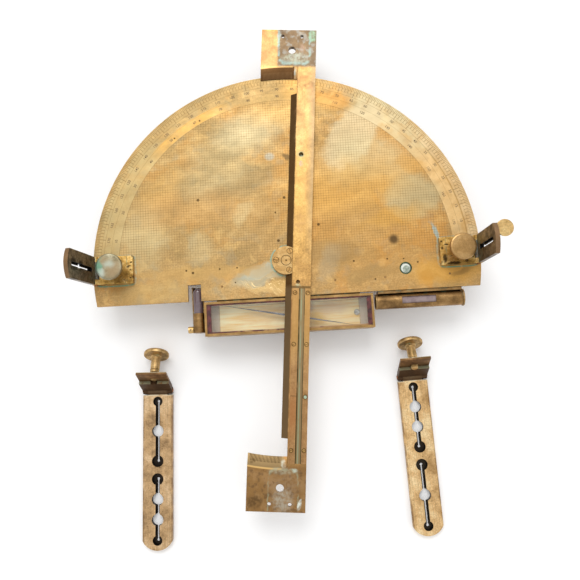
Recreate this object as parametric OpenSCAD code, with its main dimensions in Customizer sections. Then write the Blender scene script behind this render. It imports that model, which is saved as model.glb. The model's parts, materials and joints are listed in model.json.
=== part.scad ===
// Graphometer: a half-circle brass surveying instrument with a turning sight rule, a trough
// compass, two spirit levels, two folding sights on the base line and a pair of long sights
// that are taken off the rule and lie on the table in front of it.
// X runs along the base line, Y towards the top of the arc, Z up out of the engraved face.
// The origin is on the pivot axis, at the mouth of the staff socket, on the table.

/* [Limb plate] */
// Radius of the graduated half circle
limb_r = 150; // [140:1:170]
// Thickness of the limb plate
limb_t = 3; // [2.5:0.1:4]
// Distance of the straight edge below the pivot
limb_edge_y = 27.3; // [26:0.1:29]
// Height of the engraved face above the table
face_z = 36; // [35:0.5:42]

/* [Sight rule] */
// Half of the rule's overall length
rule_half = 187; // [180:1:195]
// Angle of the rule away from the square of the base line, clockwise
rule_rest_deg = 4.77; // [0:0.01:8]
// Distance of the rule's right edge from the fiducial line
rule_w = 19.2; // [17:0.1:21]
// Thickness of the rule
rule_t = 4; // [3.6:0.1:5]
// Width of the sloping fiducial edge
bevel_w = 4.8; // [4:0.1:5.2]
// Thickness left at a sloping edge
edge_t = 0.6; // [0.4:0.1:1]
// Half length of the fiducial edge
bevel_half = 134; // [120:1:142]
// Free running gap between the rule and the face
rule_gap = 0.1; // [0.05:0.05:0.3]
// Width of the vernier plates left of the fiducial line
vernier_w = 24.6; // [22:0.1:26]
// Width of the sloping band that carries the vernier
vernier_band = 8.7; // [6:0.1:10]
// How far the vernier edge reaches in over the limb
vernier_lap = 2.5; // [1:0.1:4]
// Distance of a sight's thumb screw hole from the rule's end
seat_from_end = 17; // [16:0.1:18]
// Radius of the thumb screw hole in the rule
seat_hole_r = 3; // [2.95:0.05:3.3]
// Radius of the upper hole through the rule
rule_hole_r = 1.85; // [1:0.05:2.5]
// Distance of the upper hole from the pivot
rule_hole_y = 84.1; // [60:1:110]
// Radius of the small hole beside the pivot
rule_small_hole_r = 1.5; // [1:0.05:2]
// Distance of the small hole below the pivot
rule_small_hole_y = 16.4; // [15.5:0.1:17]

/* [Pivot] */
// Radius of the round pivot flange
flange_r = 11; // [10.5:0.1:12]
// Thickness of the pivot flange
flange_t = 1.5; // [1.2:0.1:1.8]
// Radius of the pivot pin
pin_r = 3.7; // [3:0.05:3.9]
// Width of the pin's collar
collar_w = 0.9; // [0.6:0.05:1]
// Thickness of the pin's collar
collar_t = 0.8; // [0.5:0.1:0.9]
// Distance of the flange screws from the axis
flange_screw_pcr = 7.7; // [7.2:0.1:8.4]
// Radius of the flange screw heads
flange_screw_r = 2; // [1.4:0.1:2.1]
// Running clearance of the journals
run_fit = 0.05; // [0.02:0.01:0.1]

/* [Guide strips] */
// Distance of the left strip from the fiducial line
strip_left_x = 5.8; // [5.5:0.1:6.4]
// Width of the left strip
strip_left_w = 4.7; // [3:0.1:5.2]
// Width of the right strip
strip_right_w = 4.1; // [3:0.1:5]
// Height of the strips above the rule
strip_t = 1.2; // [0.8:0.1:2]
// Start of the strips below the pivot
strip_start = 21.5; // [19:0.5:22.5]
// End of the strips below the pivot
strip_end = 152; // [148:0.5:154]
// Distance of the joint in the left strip from the pivot
strip_joint = 102.4; // [95:0.5:110]
// Gap left open at that joint
strip_joint_gap = 0.4; // [0.2:0.1:0.8]
// Distance of the first strip screw from the pivot
strip_screw_start = 25; // [24:0.5:27]
// Distance between strip screws
strip_screw_pitch = 39.1; // [37:0.1:40]
// Radius of the strip screw heads
strip_screw_r = 1.2; // [0.8:0.1:1.3]

/* [Staff socket] */
// Radius of the socket's bore
socket_bore_r = 9; // [7:0.5:10]
// Depth of the socket's bore
socket_depth = 26; // [20:1:27]
// Wall of the socket tube
socket_wall = 6; // [3:0.5:8]
// Radius of the socket's flange
socket_flange_r = 28; // [24:1:34]
// Thickness of the socket's flange
socket_flange_t = 4; // [3:0.5:5]
// Number of screws in the flange
socket_screws_n = 4; // [3:1:6]
// Radius of the flange screws' heads
socket_screw_head_r = 2.6; // [2:0.1:3]

/* [Compass box] */
// Length of the compass box
box_len = 130.5; // [122:0.5:131]
// Width of the compass box
box_w = 26.2; // [24:0.1:30]
// Depth of the compass box
box_h = 18; // [17.5:0.5:19]
// Wall of the compass box
box_wall = 1.8; // [1.4:0.1:2.2]
// Floor of the compass box
box_floor = 1.5; // [1:0.1:2]
// Gap between the plate's edge and the box
box_gap_y = 1.1; // [0.8:0.1:1.6]
// Drop of the box rim below the face
box_drop = 1; // [0.5:0.1:2]
// Thickness of the glass
glass_t = 1.4; // [1:0.1:2]
// Depth of the glass below the rim
glass_drop = 1.1; // [0.8:0.1:1.6]
// Width of the ledge under the glass
ledge_w = 0.9; // [0.6:0.1:1.4]
// Width of the sealing strips at the two ends
seal_end_w = 3.4; // [2:0.1:4]
// Width of the sealing strips along the sides
seal_side_w = 1.1; // [0.8:0.1:2]
// Thickness of the sealing strips
seal_t = 0.5; // [0.3:0.1:0.8]
// Thickness of the paper card on its plate
card_t = 0.5; // [0.3:0.1:1]
// Length of the blocks that carry the card at both ends
card_block = 5; // [3:0.5:6]
// Height of those blocks above the floor
card_lift = 2.6; // [2.4:0.1:3]

/* [Compass needle] */
// Half length of the needle
needle_half = 53; // [40:1:53]
// Width of the needle at its middle
needle_w = 1.7; // [1:0.1:1.8]
// Thickness of the needle
needle_t = 0.7; // [0.4:0.1:1]
// Angle of the needle in the photograph, clockwise
needle_rest_deg = 11.4; // [0:0.1:11.4]
// Height of the needle above the box floor
needle_rise = 8.2; // [8:0.1:8.8]
// Radius of the needle's cap
cap_r = 2.6; // [2:0.1:3.2]
// Radius of the steel point
point_r = 0.6; // [0.4:0.1:0.8]
// Distance of the lifter screw from the box's right end
lifter_from_end = 12.25; // [10:0.25:16]
// Radius of the lifter screw's head
lifter_head_r = 2.2; // [1.6:0.1:2.6]
// Width of the lifter's lever
lifter_w = 4; // [3:0.1:5]
// Thickness of the lifter's lever
lifter_t = 0.8; // [0.5:0.1:1]

/* [Cross level] */
// Outer radius of the cross level's tube
cross_r = 4.7; // [4.4:0.1:4.9]
// Distance of the tube's upper end below the base line
cross_start = 15.6; // [15:0.1:16.5]
// Distance of the tube's lower end below the base line
cross_end = 51.3; // [50:0.1:53]
// Length of the open window over the glass
cross_window = 20.6; // [16:0.1:22]
// Wall of the cross level's tube
cross_wall = 0.8; // [0.6:0.1:1]
// Width of the notch in the plate
notch_w = 10.1; // [9.9:0.1:11]
// Distance of the notch's outer side left of the pivot
notch_x = 77; // [76:0.1:78]
// Start of the notch below the base line
notch_start = 14.3; // [13.5:0.1:15]
// Radius of the adjusting screw's head
capstan_r = 2.6; // [2:0.1:3]
// Length of the adjusting screw's head
capstan_len = 4; // [3:0.1:5]

/* [Long level] */
// Outer radius of the long level's tube
long_r = 6; // [5.6:0.1:6.4]
// Length of the long level over its caps
long_len = 68.2; // [64:0.1:72]
// Gap between the compass box and its left end
long_gap = 1.95; // [1.5:0.05:3]
// Distance of its axis below the base line
long_y = 35.2; // [35:0.1:37]
// Wall of the tube
long_wall = 0.9; // [0.7:0.1:1.2]
// Length of the window over the glass
long_window = 26; // [20:0.5:34]
// Width of the window over the glass
long_window_w = 5.4; // [4:0.1:9]
// How far the right cap stands out from the tube
long_cap_step = 0.6; // [0.3:0.1:0.9]

/* [Sights] */
// Width of the sights of the rule
sight_w = 23.5; // [21:0.1:24]
// Width of the sights of the base line
end_sight_w = 21.5; // [21:0.1:23.5]
// Distance from a sight's hinge to the inner end of its foot
foot_len = 28.8; // [28.5:0.1:31]
// Thickness of a sight's foot
foot_t = 4.5; // [4:0.1:5]
// Depth of the step at the inner end on the sights of the base line
end_step = 0.6; // [0.4:0.1:1.5]
// Length of that step
end_step_len = 4.8; // [3:0.1:8]
// Depth of the step on the sights of the rule
rule_step = 2.5; // [1.5:0.1:2.8]
// Length of that step
rule_step_len = 12.4; // [11.4:0.1:13]
// Thickness of a vane on the base line
short_t = 3.2; // [3:0.1:4]
// Height of a vane on the base line above its hinge
short_len = 47; // [40:0.5:55]
// Thickness of a vane of the rule
long_t = 4.5; // [4.2:0.1:5]
// Length of a vane of the rule from its hinge
long_vane = 124.3; // [122:0.1:130]
// Rise of the rounded end of a long vane
long_crown = 7.4; // [5:0.1:9]
// Rise of the rounded end of a short vane
short_crown = 3.6; // [2:0.1:6]
// Width of the channel along the slits
channel_w = 3.4; // [2:0.1:4]
// Width of the slits
slit_w = 1.1; // [0.8:0.1:1.5]
// Thickness left behind a channel
web_t = 1.2; // [0.8:0.1:1.6]
// Radius of the round windows
window_r = 4.6; // [3.5:0.1:5]
// Radius of the small hole at each end of a slit
slit_hole_r = 1.1; // [0.6:0.1:1.5]
// Radius of the outermost wells
well_r = 3.8; // [3:0.1:4.2]
// Distance of the first well from the hinge
slit_start = 8.7; // [8:0.1:10]
// Length of each slit between its end wells
slit_len = 47; // [44:0.1:48]
// Distance between the two slits
slit_gap = 14; // [12:0.1:15]
// Start of the short vane's slit above the hinge
short_slit_start = 10; // [9.5:0.1:14]
// Length of the short vane's slit
short_slit_len = 29.5; // [24:0.5:30]
// Radius of the round holes of a short vane
short_hole_r = 2.3; // [1.6:0.1:2.8]

/* [Sight hinges] */
// Radius of the hinge barrel
barrel_r = 2.8; // [2.6:0.1:3]
// Radius of the hinge pin
hinge_pin_r = 1.5; // [1.2:0.05:1.6]
// Height of the hinge axis above the foot's underside
hinge_rise = 3.2; // [3.1:0.1:3.6]
// Width of each outer knuckle
knuckle_w = 4; // [3:0.1:6]
// Side clearance of the knuckles
knuckle_gap = 0.15; // [0.1:0.05:0.3]
// Distance from the hinge axis to the vane's inner face
hinge_out = 0.9; // [0.5:0.1:1.2]
// Distance from the hinge axis to the foot's plate
foot_root = 3; // [2.9:0.1:3.4]
// Distance of the hinge axes of the base line inside the rim
end_hinge_in = 3; // [2:0.1:4]
// Distance from the hinge axis to the vane's full width
vane_root = 3.6; // [3.5:0.1:4.5]
// Outward lean of the left vane on the base line
left_lean_deg = 6.5; // [0:0.5:20]
// Backward lean of the two feet that lie on the table
foot_lean_deg = 25; // [10:0.5:25]

/* [Thumb screws] */
// Radius of a thumb screw's head
head_r = 10; // [8:0.1:11]
// Thickness of a thumb screw's head
head_t = 3.5; // [2:0.1:5]
// Radius of a thumb screw's neck
neck_r = 3.6; // [3.2:0.1:4.5]
// Length of a thumb screw's neck
neck_len = 14.5; // [10:0.5:15]
// Radius of a thumb screw's thread
thread_r = 2.85; // [2:0.05:2.9]
// How far the thread stands out past the foot
thread_out = 2.5; // [1:0.1:3]
// How far the left loose sight's thumb screw is backed out
left_backed_out = 4; // [0:0.1:4.4]
// How far the right loose sight's thumb screw is backed out
right_backed_out = 1.3; // [0:0.1:4.4]
// Distance of a thumb screw from the hinge on the sights of the rule
screw_a = 17.6; // [16.8:0.1:18.3]
// Distance of a thumb screw from the hinge on the sights of the base line
end_screw_a = 15.6; // [14.9:0.1:16.3]
// Radius of the steady pins
steady_r = 1.3; // [1:0.05:1.4]
// Length of the steady pins below the foot
steady_len = 2.8; // [2:0.1:3.4]
// Distance of the steady pins from the foot's centre line
steady_x = 7.6; // [6:0.1:8.5]
// Distance of the steady pins from the sight's hinge
steady_a = 6; // [5.6:0.1:7]

/* [Sights on the table] */
// Hinge of the left sight, distance left of the pivot
left_sight_x = 109.85; // [105:0.05:115]
// Hinge of the right sight, distance right of the pivot
right_sight_x = 95.5; // [90:0.05:100]
// Distance of both hinges below the base line
table_sight_y = 94.4; // [90:0.1:100]
// Turn of the left sight
left_sight_deg = -1.95; // [-5:0.05:5]
// Turn of the right sight
right_sight_deg = 1.8; // [-5:0.05:5]

/* [Small parts] */
// Radius of the round glass in the plate
eye_r = 4.8; // [4:0.1:6]
// Distance of the round glass right of the pivot
eye_x = 91.6; // [80:0.1:100]
// Distance of the round glass below the base line
eye_y = 10.8; // [9:0.1:13]
// Width of the ring around the round glass
eye_ring_w = 0.9; // [0.6:0.1:1.5]
// Radius of the disc-headed screw on the right vane
disc_r = 6.2; // [5:0.1:7]
// Thickness of that disc
disc_t = 1.6; // [1:0.1:2.5]
// Distance of the disc beside the vane's middle
disc_y = 8; // [6:0.1:8]
// Height of the disc above the vane's hinge
disc_rise = 36; // [30:0.5:40]
// Radius of the small screws
small_r = 0.9; // [0.7:0.1:1.2]

/* [Hidden] */
$fn = 64;
eps = 0.01;
far = 400;

// Colours of the metals and of the other materials
old_brass = "#b08d4f";
dark_brass = "#6f5a35";
pale_brass = "#c9a86a";
steel = "#8d8f90";
paper = "#e6cf96";
maroon = "#5b2a2a";
vial_tint = "#8a7f92";

// Heights above the table
plate_z = face_z - limb_t;
rule_z = face_z + rule_gap;
rule_top = rule_z + rule_t;
box_top = face_z - box_drop;
box_z = box_top - box_h;
floor_z = box_z + box_floor;
glass_z = box_top - glass_drop - glass_t;
card_z = floor_z + card_lift;
needle_z = floor_z + needle_rise;
cross_z = plate_z - cross_r - 0.3;
long_z = face_z - 1 - long_r;

// Places in plan
box_back = -limb_edge_y - box_gap_y;
box_mid = box_back - box_w / 2;
seat_y = rule_half - seat_from_end;
steady_seat_y = seat_y + screw_a - steady_a;
vernier_r = limb_r - vernier_lap;
strip_right_x = rule_w - strip_right_w;
screw_x_left = strip_left_x + strip_left_w * 0.36;
screw_x_right = strip_right_x + strip_right_w / 2;
cross_x = -box_len / 2 - 0.6 - cross_r;
block_x = -box_len / 2;
end_hinge_x = limb_r - end_hinge_in;
end_screw_x = end_hinge_x - end_screw_a;
end_steady_x = end_hinge_x - steady_a;
hinge_z = face_z + hinge_rise;
table_hinge_z = long_t - hinge_out;
nut_r = 6.5;
nut_t = 3;
nut_room = nut_r + 0.6;
pin_foot_z = plate_z - nut_t - 1.6;
nut_room_z = pin_foot_z - 0.3;
collar_z = rule_top - flange_t - collar_t - 0.05;
socket_pcr = socket_flange_r - socket_screw_head_r - 1.6;
bracket_leg = 14;
bracket_leg_t = 1.8;
bracket_short = 20;
bracket_len = box_len - bracket_short;
bracket_left_screw = 4.65;
bracket_right_screw = 18.45;
bracket_screw_x = [-bracket_len / 2 + bracket_left_screw, bracket_len / 2 - bracket_right_screw];
long_start_x = box_len / 2 + long_gap;
level_screw_in = 8.1;
level_screw_gap = 49.8;
level_screw_x = [long_start_x + level_screw_in, long_start_x + level_screw_in + level_screw_gap];
lifter_x = box_len / 2 - lifter_from_end;
bracket_screw_y = 17;
bracket_screw_rise = 6;
level_bracket_len = long_len - 4;
capstan_y = -cross_end + 2.7;
capstan_flat = 3.2;
capstan_cut = 0.4;
vial_r = cross_r - cross_wall - 0.02;
vial_len = cross_end - cross_start - 4.2;
flange_screw_deg = 70.8;
lug_reach = disc_r + 1.4;
lug_t = 2.4;
strip_shank_r = 0.7;

// A screw head with a driver slot, its top at z = 0 and its shank below
module slotted_screw(r, head_t, shank_r, shank_len, slot_deg = 0) {
    difference() {
        union() {
            translate([0, 0, -head_t]) cylinder(r = r, h = head_t);
            translate([0, 0, -shank_len]) cylinder(r = shank_r, h = shank_len);
        }
        rotate([0, 0, slot_deg]) translate([-r - 1, -0.2, -0.35]) cube([2 * r + 2, 0.4, 1]);
    }
}

// The rule's frame: X across it from the fiducial line, Y along it
module on_rule() {
    rotate([0, 0, -rule_rest_deg]) children();
}

module limb_plate() color(old_brass) difference() {
    translate([0, 0, plate_z]) intersection() {
        cylinder(r = limb_r, h = limb_t, $fn = 256);
        translate([-far, -limb_edge_y, 0]) cube([2 * far, far, limb_t]);
    }
    translate([-notch_x, -far, plate_z - 1]) cube([notch_w, far - notch_start, limb_t + 2]);
    translate([0, 0, plate_z - 1]) {
        cylinder(r = pin_r, h = limb_t + 2);
        for (s = [-1, 1]) {
            translate([s * end_screw_x, 0, 0]) cylinder(r = thread_r + run_fit, h = limb_t + 2);
            for (t = [-1, 1]) translate([s * end_steady_x, t * steady_x, 0])
                cylinder(r = steady_r, h = limb_t + 2);
        }
        translate([eye_x, -eye_y, 0]) cylinder(r = eye_r, h = limb_t + 2);
        bracket_screw_places() cylinder(r = small_r, h = limb_t + 2);
        for (i = [0 : socket_screws_n - 1]) rotate([0, 0, 45 + i * 360 / socket_screws_n])
            translate([socket_pcr, 0, 0]) cylinder(r = small_r, h = limb_t);
    }
}

module pivot_pin() color(pale_brass) difference() {
    rotate_extrude() polygon([[0, pin_foot_z], [pin_r, pin_foot_z], [pin_r, collar_z],
        [pin_r + collar_w, collar_z], [pin_r + collar_w, collar_z + collar_t],
        [pin_r, collar_z + collar_t], [pin_r, rule_top], [0, rule_top]]);
    translate([0, 0, rule_top - 0.5]) cylinder(r1 = 0.1, r2 = 0.6, h = 0.51);
}

module pivot_nut() color(dark_brass) translate([0, 0, plate_z - nut_t]) difference() {
    cylinder(r = nut_r, h = nut_t, $fn = 6);
    translate([0, 0, -1]) cylinder(r = pin_r, h = nut_t + 2);
}

module staff_socket() color(old_brass) difference() {
    union() {
        cylinder(r = socket_bore_r + socket_wall, h = plate_z - socket_flange_t / 2);
        translate([0, 0, plate_z - socket_flange_t]) cylinder(r = socket_flange_r, h = socket_flange_t);
        cylinder(r = socket_bore_r + socket_wall + 2, h = 3.5);
    }
    translate([0, 0, -1]) cylinder(r = socket_bore_r, h = socket_depth + 1);
    translate([0, 0, nut_room_z]) cylinder(r = nut_room, h = socket_flange_t + 2);
    for (i = [0 : socket_screws_n - 1]) rotate([0, 0, 45 + i * 360 / socket_screws_n])
        translate([socket_pcr, 0, plate_z - socket_flange_t - 1])
            cylinder(r = small_r, h = socket_flange_t + 2);
}

module socket_screws() color(pale_brass)
    for (i = [0 : socket_screws_n - 1]) rotate([0, 0, 45 + i * 360 / socket_screws_n])
        translate([socket_pcr, 0, plate_z - socket_flange_t]) mirror([0, 0, 1])
            translate([0, 0, 1.4]) slotted_screw(socket_screw_head_r, 1.4, small_r,
                1.4 + socket_flange_t + limb_t - 1, 30 * i);

module compass_box() color(old_brass) difference() {
    translate([-box_len / 2, box_back - box_w, box_z]) cube([box_len, box_w, box_h]);
    // Room for the needle, down to the floor between the blocks of the card
    translate([-box_len / 2 + box_wall + ledge_w, box_back - box_w + box_wall, card_z])
        cube([box_len - 2 * (box_wall + ledge_w), box_w - 2 * box_wall, box_h]);
    translate([-box_len / 2 + box_wall + ledge_w + card_block, box_back - box_w + box_wall, floor_z])
        cube([box_len - 2 * (box_wall + ledge_w + card_block), box_w - 2 * box_wall, box_h]);
    // Seat of the glass
    translate([-box_len / 2 + box_wall, box_back - box_w + box_wall, glass_z])
        cube([box_len - 2 * box_wall, box_w - 2 * box_wall, box_h]);
    translate([0, box_mid, box_z - 1]) cylinder(r = point_r, h = box_floor + 2);
    translate([lifter_x, box_mid, box_z - 1]) cylinder(r = small_r + run_fit, h = box_floor + 2);
    translate([-box_len / 2 - 1, capstan_y, cross_z]) rotate([0, 90, 0])
        cylinder(r = small_r + run_fit, h = box_wall + 1.5);
    for (x = bracket_screw_x) translate([x, box_back - box_wall - 1, box_z + bracket_screw_rise])
        rotate([-90, 0, 0]) cylinder(r = small_r, h = box_wall + 2);
}

module compass_bracket() color(dark_brass) difference() {
    union() {
        translate([-bracket_len / 2, box_back, box_z + 1])
            cube([bracket_len, box_gap_y - 0.1, plate_z - box_z - 1]);
        translate([-bracket_len / 2, box_back, plate_z - bracket_leg_t])
            cube([bracket_len, bracket_leg, bracket_leg_t]);
    }
    translate([0, 0, plate_z - bracket_leg_t - 1])
        bracket_screw_places() cylinder(r = small_r, h = bracket_leg_t + 2);
    for (x = bracket_screw_x) translate([x, box_back - 1, box_z + bracket_screw_rise])
        rotate([-90, 0, 0]) cylinder(r = small_r, h = box_gap_y + 2);
    // The bracket stops short of the staff socket's flange
    translate([0, 0, plate_z - socket_flange_t - 0.3])
        cylinder(r = socket_flange_r + 0.3, h = socket_flange_t + 1);
}

// Screws that hold the two brackets under the plate, seen in the face as small dots
module bracket_screw_places() {
    for (x = concat(bracket_screw_x, level_screw_x)) translate([x, -bracket_screw_y, 0]) children();
}

module bracket_screws() color(pale_brass) {
    bracket_screw_places() translate([0, 0, plate_z - bracket_leg_t])
        cylinder(r = small_r, h = limb_t + bracket_leg_t);
    for (x = bracket_screw_x) translate([x, box_back + box_gap_y - 0.1, box_z + bracket_screw_rise])
        rotate([-90, 0, 0]) translate([0, 0, 1]) slotted_screw(1.7, 1, small_r, box_gap_y + box_wall, 20);
}

module compass_glass() color("#dfe8e4", 0.35)
    translate([-box_len / 2 + box_wall, box_back - box_w + box_wall, glass_z])
        cube([box_len - 2 * box_wall, box_w - 2 * box_wall, glass_t]);

module sealing_strips() color(maroon) difference() {
    translate([-box_len / 2 + box_wall, box_back - box_w + box_wall, glass_z + glass_t])
        cube([box_len - 2 * box_wall, box_w - 2 * box_wall, seal_t]);
    translate([-box_len / 2 + box_wall + seal_end_w, box_back - box_w + box_wall + seal_side_w,
        glass_z])
        cube([box_len - 2 * (box_wall + seal_end_w), box_w - 2 * (box_wall + seal_side_w), 9]);
}

module compass_card() color(paper) difference() {
    translate([-box_len / 2 + box_wall + ledge_w, box_back - box_w + box_wall, card_z])
        cube([box_len - 2 * (box_wall + ledge_w), box_w - 2 * box_wall, card_t]);
    translate([0, box_mid, card_z - 1]) cylinder(r = cap_r + 0.5, h = card_t + 2);
    translate([lifter_x, box_mid, card_z - 1]) cylinder(r = small_r + 0.3, h = card_t + 2);
}

module needle_point() color(steel) translate([0, box_mid, 0]) rotate_extrude() polygon([
    [0, box_z], [point_r, box_z], [point_r, needle_z - 1], [0.12, needle_z + needle_t],
    [0, needle_z + needle_t]]);

module compass_needle() color(steel)
    translate([0, box_mid, needle_z]) rotate([0, 0, -needle_rest_deg]) difference() {
        union() {
            linear_extrude(needle_t) polygon([[-needle_half, 0], [-cap_r, needle_w / 2],
                [cap_r, needle_w / 2], [needle_half, 0], [cap_r, -needle_w / 2],
                [-cap_r, -needle_w / 2]]);
            cylinder(r = cap_r, h = needle_t);
        }
        translate([0, 0, -1]) cylinder(r = cap_r - 0.6, h = needle_t + 2);
    }

// Brass cap with a conical seat that hangs on the steel point
module needle_cap() color(pale_brass) translate([0, box_mid, needle_z]) rotate_extrude() polygon([
    [0, needle_t + 0.3], [0.35, needle_t], [1.1, 0], [cap_r - 0.6, 0], [cap_r - 0.6, needle_t],
    [cap_r, needle_t], [cap_r - 0.9, needle_t + 1.1], [0, needle_t + 1.4]]);

module lifter_lever() color(old_brass) difference() {
    union() {
        translate([0, box_mid - lifter_w / 2, floor_z + 0.2])
            cube([lifter_x + 3.5, lifter_w, lifter_t]);
        translate([0, box_mid, floor_z + 0.2]) cylinder(r = cap_r, h = lifter_t);
        translate([0, box_mid, floor_z + 0.2])
            cylinder(r = cap_r - 0.7, h = needle_z - floor_z - 1.6);
    }
    translate([0, box_mid, floor_z - 1]) cylinder(r = point_r + 0.6, h = box_h);
    translate([lifter_x, box_mid, floor_z - 1]) cylinder(r = small_r + run_fit, h = 4);
}

module lifter_screw() color(steel) translate([lifter_x, box_mid, card_z + card_t + 1.1])
    slotted_screw(lifter_head_r, 1, small_r, card_lift + card_t + 1 + box_floor, 20);

module cross_level_tube() color(dark_brass) difference() {
    translate([cross_x, -cross_end, cross_z]) rotate([-90, 0, 0])
        cylinder(r = cross_r, h = cross_end - cross_start);
    translate([cross_x, -cross_end + 3.5, cross_z]) rotate([-90, 0, 0])
        cylinder(r = cross_r - cross_wall, h = cross_end);
    // The upper half is cut away over the glass
    translate([cross_x - 2 * cross_r, -cross_start - cross_window, cross_z + 0.6])
        cube([4 * cross_r, cross_window + 2, 2 * cross_r]);
    translate([cross_x - 2 * cross_r, capstan_y, cross_z]) rotate([0, 90, 0])
        cylinder(r = small_r + run_fit, h = 4 * cross_r);
    // Flat under the adjusting screw's head
    translate([cross_x - cross_r - 2, capstan_y - capstan_flat, cross_z - far / 2])
        cube([2 + capstan_cut, 2 * capstan_flat, far]);
}

module cross_level_vial() color(vial_tint, 0.6) translate([cross_x, -cross_end + 3.7, cross_z])
    rotate([-90, 0, 0]) {
        cylinder(r = vial_r, h = vial_len - vial_r);
        translate([0, 0, vial_len - vial_r]) sphere(r = vial_r);
    }

// Saddle that carries the tube on the end wall of the box
module cross_level_block() color(old_brass) difference() {
    translate([cross_x - cross_r + 1.2, -cross_end, cross_z - cross_r - 2])
        cube([block_x - cross_x + cross_r - 1.2, 13, cross_r + 0.4]);
    translate([cross_x, -cross_end - 1, cross_z]) rotate([-90, 0, 0]) cylinder(r = cross_r, h = 20);
}

module capstan_screw() color(pale_brass) translate([cross_x - cross_r + 0.3, capstan_y, cross_z])
    rotate([0, 90, 0]) difference() {
        union() {
            translate([0, 0, -capstan_len]) cylinder(r = capstan_r, h = capstan_len);
            cylinder(r = small_r, h = 2 * cross_r + box_wall + 0.2);
        }
        for (a = [0, 90]) rotate([0, 0, a]) translate([-5, 0, -capstan_len / 2])
            rotate([0, 90, 0]) cylinder(r = 0.55, h = 10, $fn = 24);
    }

module long_level_tube() color(dark_brass) difference() {
    translate([long_start_x + 1.2, -long_y, long_z]) rotate([0, 90, 0])
        cylinder(r = long_r, h = long_len - 2.4);
    translate([long_start_x, -long_y, long_z]) rotate([0, 90, 0])
        cylinder(r = long_r - long_wall, h = long_len + 2);
    translate([long_start_x + (long_len - long_window) / 2 - 1, -long_y - long_window_w / 2,
        long_z + 2]) cube([long_window, long_window_w, far]);
}

module long_level_caps() color(old_brass) {
    translate([long_start_x, -long_y, long_z]) rotate([0, 90, 0]) {
        cylinder(r = long_r, h = 1.2);
        cylinder(r = long_r - long_wall, h = 4.2);
    }
    translate([long_start_x + long_len, -long_y, long_z]) rotate([0, -90, 0]) {
        cylinder(r = long_r + long_cap_step, h = 1.2);
        cylinder(r = long_r - long_wall, h = 4.2);
    }
}

module long_level_vial() color(vial_tint, 0.6) translate([long_start_x + 4.4, -long_y, long_z])
    rotate([0, 90, 0]) cylinder(r = long_r - long_wall - 0.02, h = long_len - 8.8);

module long_level_bracket() color(dark_brass) difference() {
    union() {
        translate([long_start_x + 2, -long_y + long_r - 0.4, long_z - long_r])
            cube([level_bracket_len, long_y - long_r + 0.3 - limb_edge_y, plate_z + 1.6 - long_z + long_r]);
        translate([long_start_x + 2, -long_y + long_r - 0.4, plate_z - bracket_leg_t])
            cube([level_bracket_len, bracket_leg, bracket_leg_t]);
    }
    translate([long_start_x, -long_y, long_z]) rotate([0, 90, 0]) cylinder(r = long_r, h = long_len);
    translate([0, 0, plate_z - bracket_leg_t - 1])
        bracket_screw_places() cylinder(r = small_r, h = bracket_leg_t + 2);
}

module eye_ring() color(dark_brass) translate([eye_x, -eye_y, plate_z]) difference() {
    cylinder(r = eye_r, h = limb_t);
    translate([0, 0, -1]) cylinder(r = eye_r - eye_ring_w, h = limb_t + 2);
}

module eye_glass() color("#8fa39a", 0.7) translate([eye_x, -eye_y, plate_z + 0.4])
    cylinder(r = eye_r - eye_ring_w, h = limb_t - 0.9);

// Foot of a sight in its own frame: X across, Y inwards from the hinge axis, Z up
module foot(w, screw_at, step_len, step, knuckle_bore) {
    difference() {
        union() {
            translate([-w / 2, foot_root, -hinge_rise]) cube([w, foot_len - foot_root, foot_t]);
            for (s = [-1, 1]) translate([s * (w - knuckle_w) / 2, 0, 0]) {
                rotate([0, 90, 0]) cylinder(r = barrel_r, h = knuckle_w, center = true);
                translate([-knuckle_w / 2, 0, -hinge_rise + 0.6])
                    cube([knuckle_w, foot_root + 0.1, foot_t - 0.6]);
            }
        }
        // Step at the inner end
        translate([-w, foot_len - step_len, foot_t - hinge_rise - step])
            cube([2 * w, step_len + 1, step + 1]);
        translate([0, screw_at, -far / 2]) cylinder(r = thread_r + run_fit, h = far);
        for (s = [-1, 1]) translate([s * steady_x, steady_a, -hinge_rise - 1])
            cylinder(r = steady_r, h = foot_t - 0.5);
        rotate([0, 90, 0]) cylinder(r = knuckle_bore, h = 2 * w, center = true);
    }
}

// Steady pins of a foot in the same frame
module steady_pins() {
    for (s = [-1, 1]) translate([s * steady_x, steady_a, -hinge_rise - steady_len])
        cylinder(r = steady_r, h = steady_len + foot_t - 1.5);
}

// Thumb screw with the underside of its neck at z = 0 and its head above
module thumb_screw(thread_len) {
    rotate_extrude($fn = 96) polygon([[0, -thread_len], [thread_r - 0.3, -thread_len],
        [thread_r, -thread_len + 0.5], [thread_r, 0], [neck_r, 0], [neck_r, neck_len - 1.2],
        [neck_r + 1, neck_len - 0.6], [neck_r + 1, neck_len], [head_r - 0.6, neck_len],
        [head_r, neck_len + 0.7], [head_r, neck_len + head_t - 0.9],
        [head_r - 0.9, neck_len + head_t], [0, neck_len + head_t]]);
}

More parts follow.
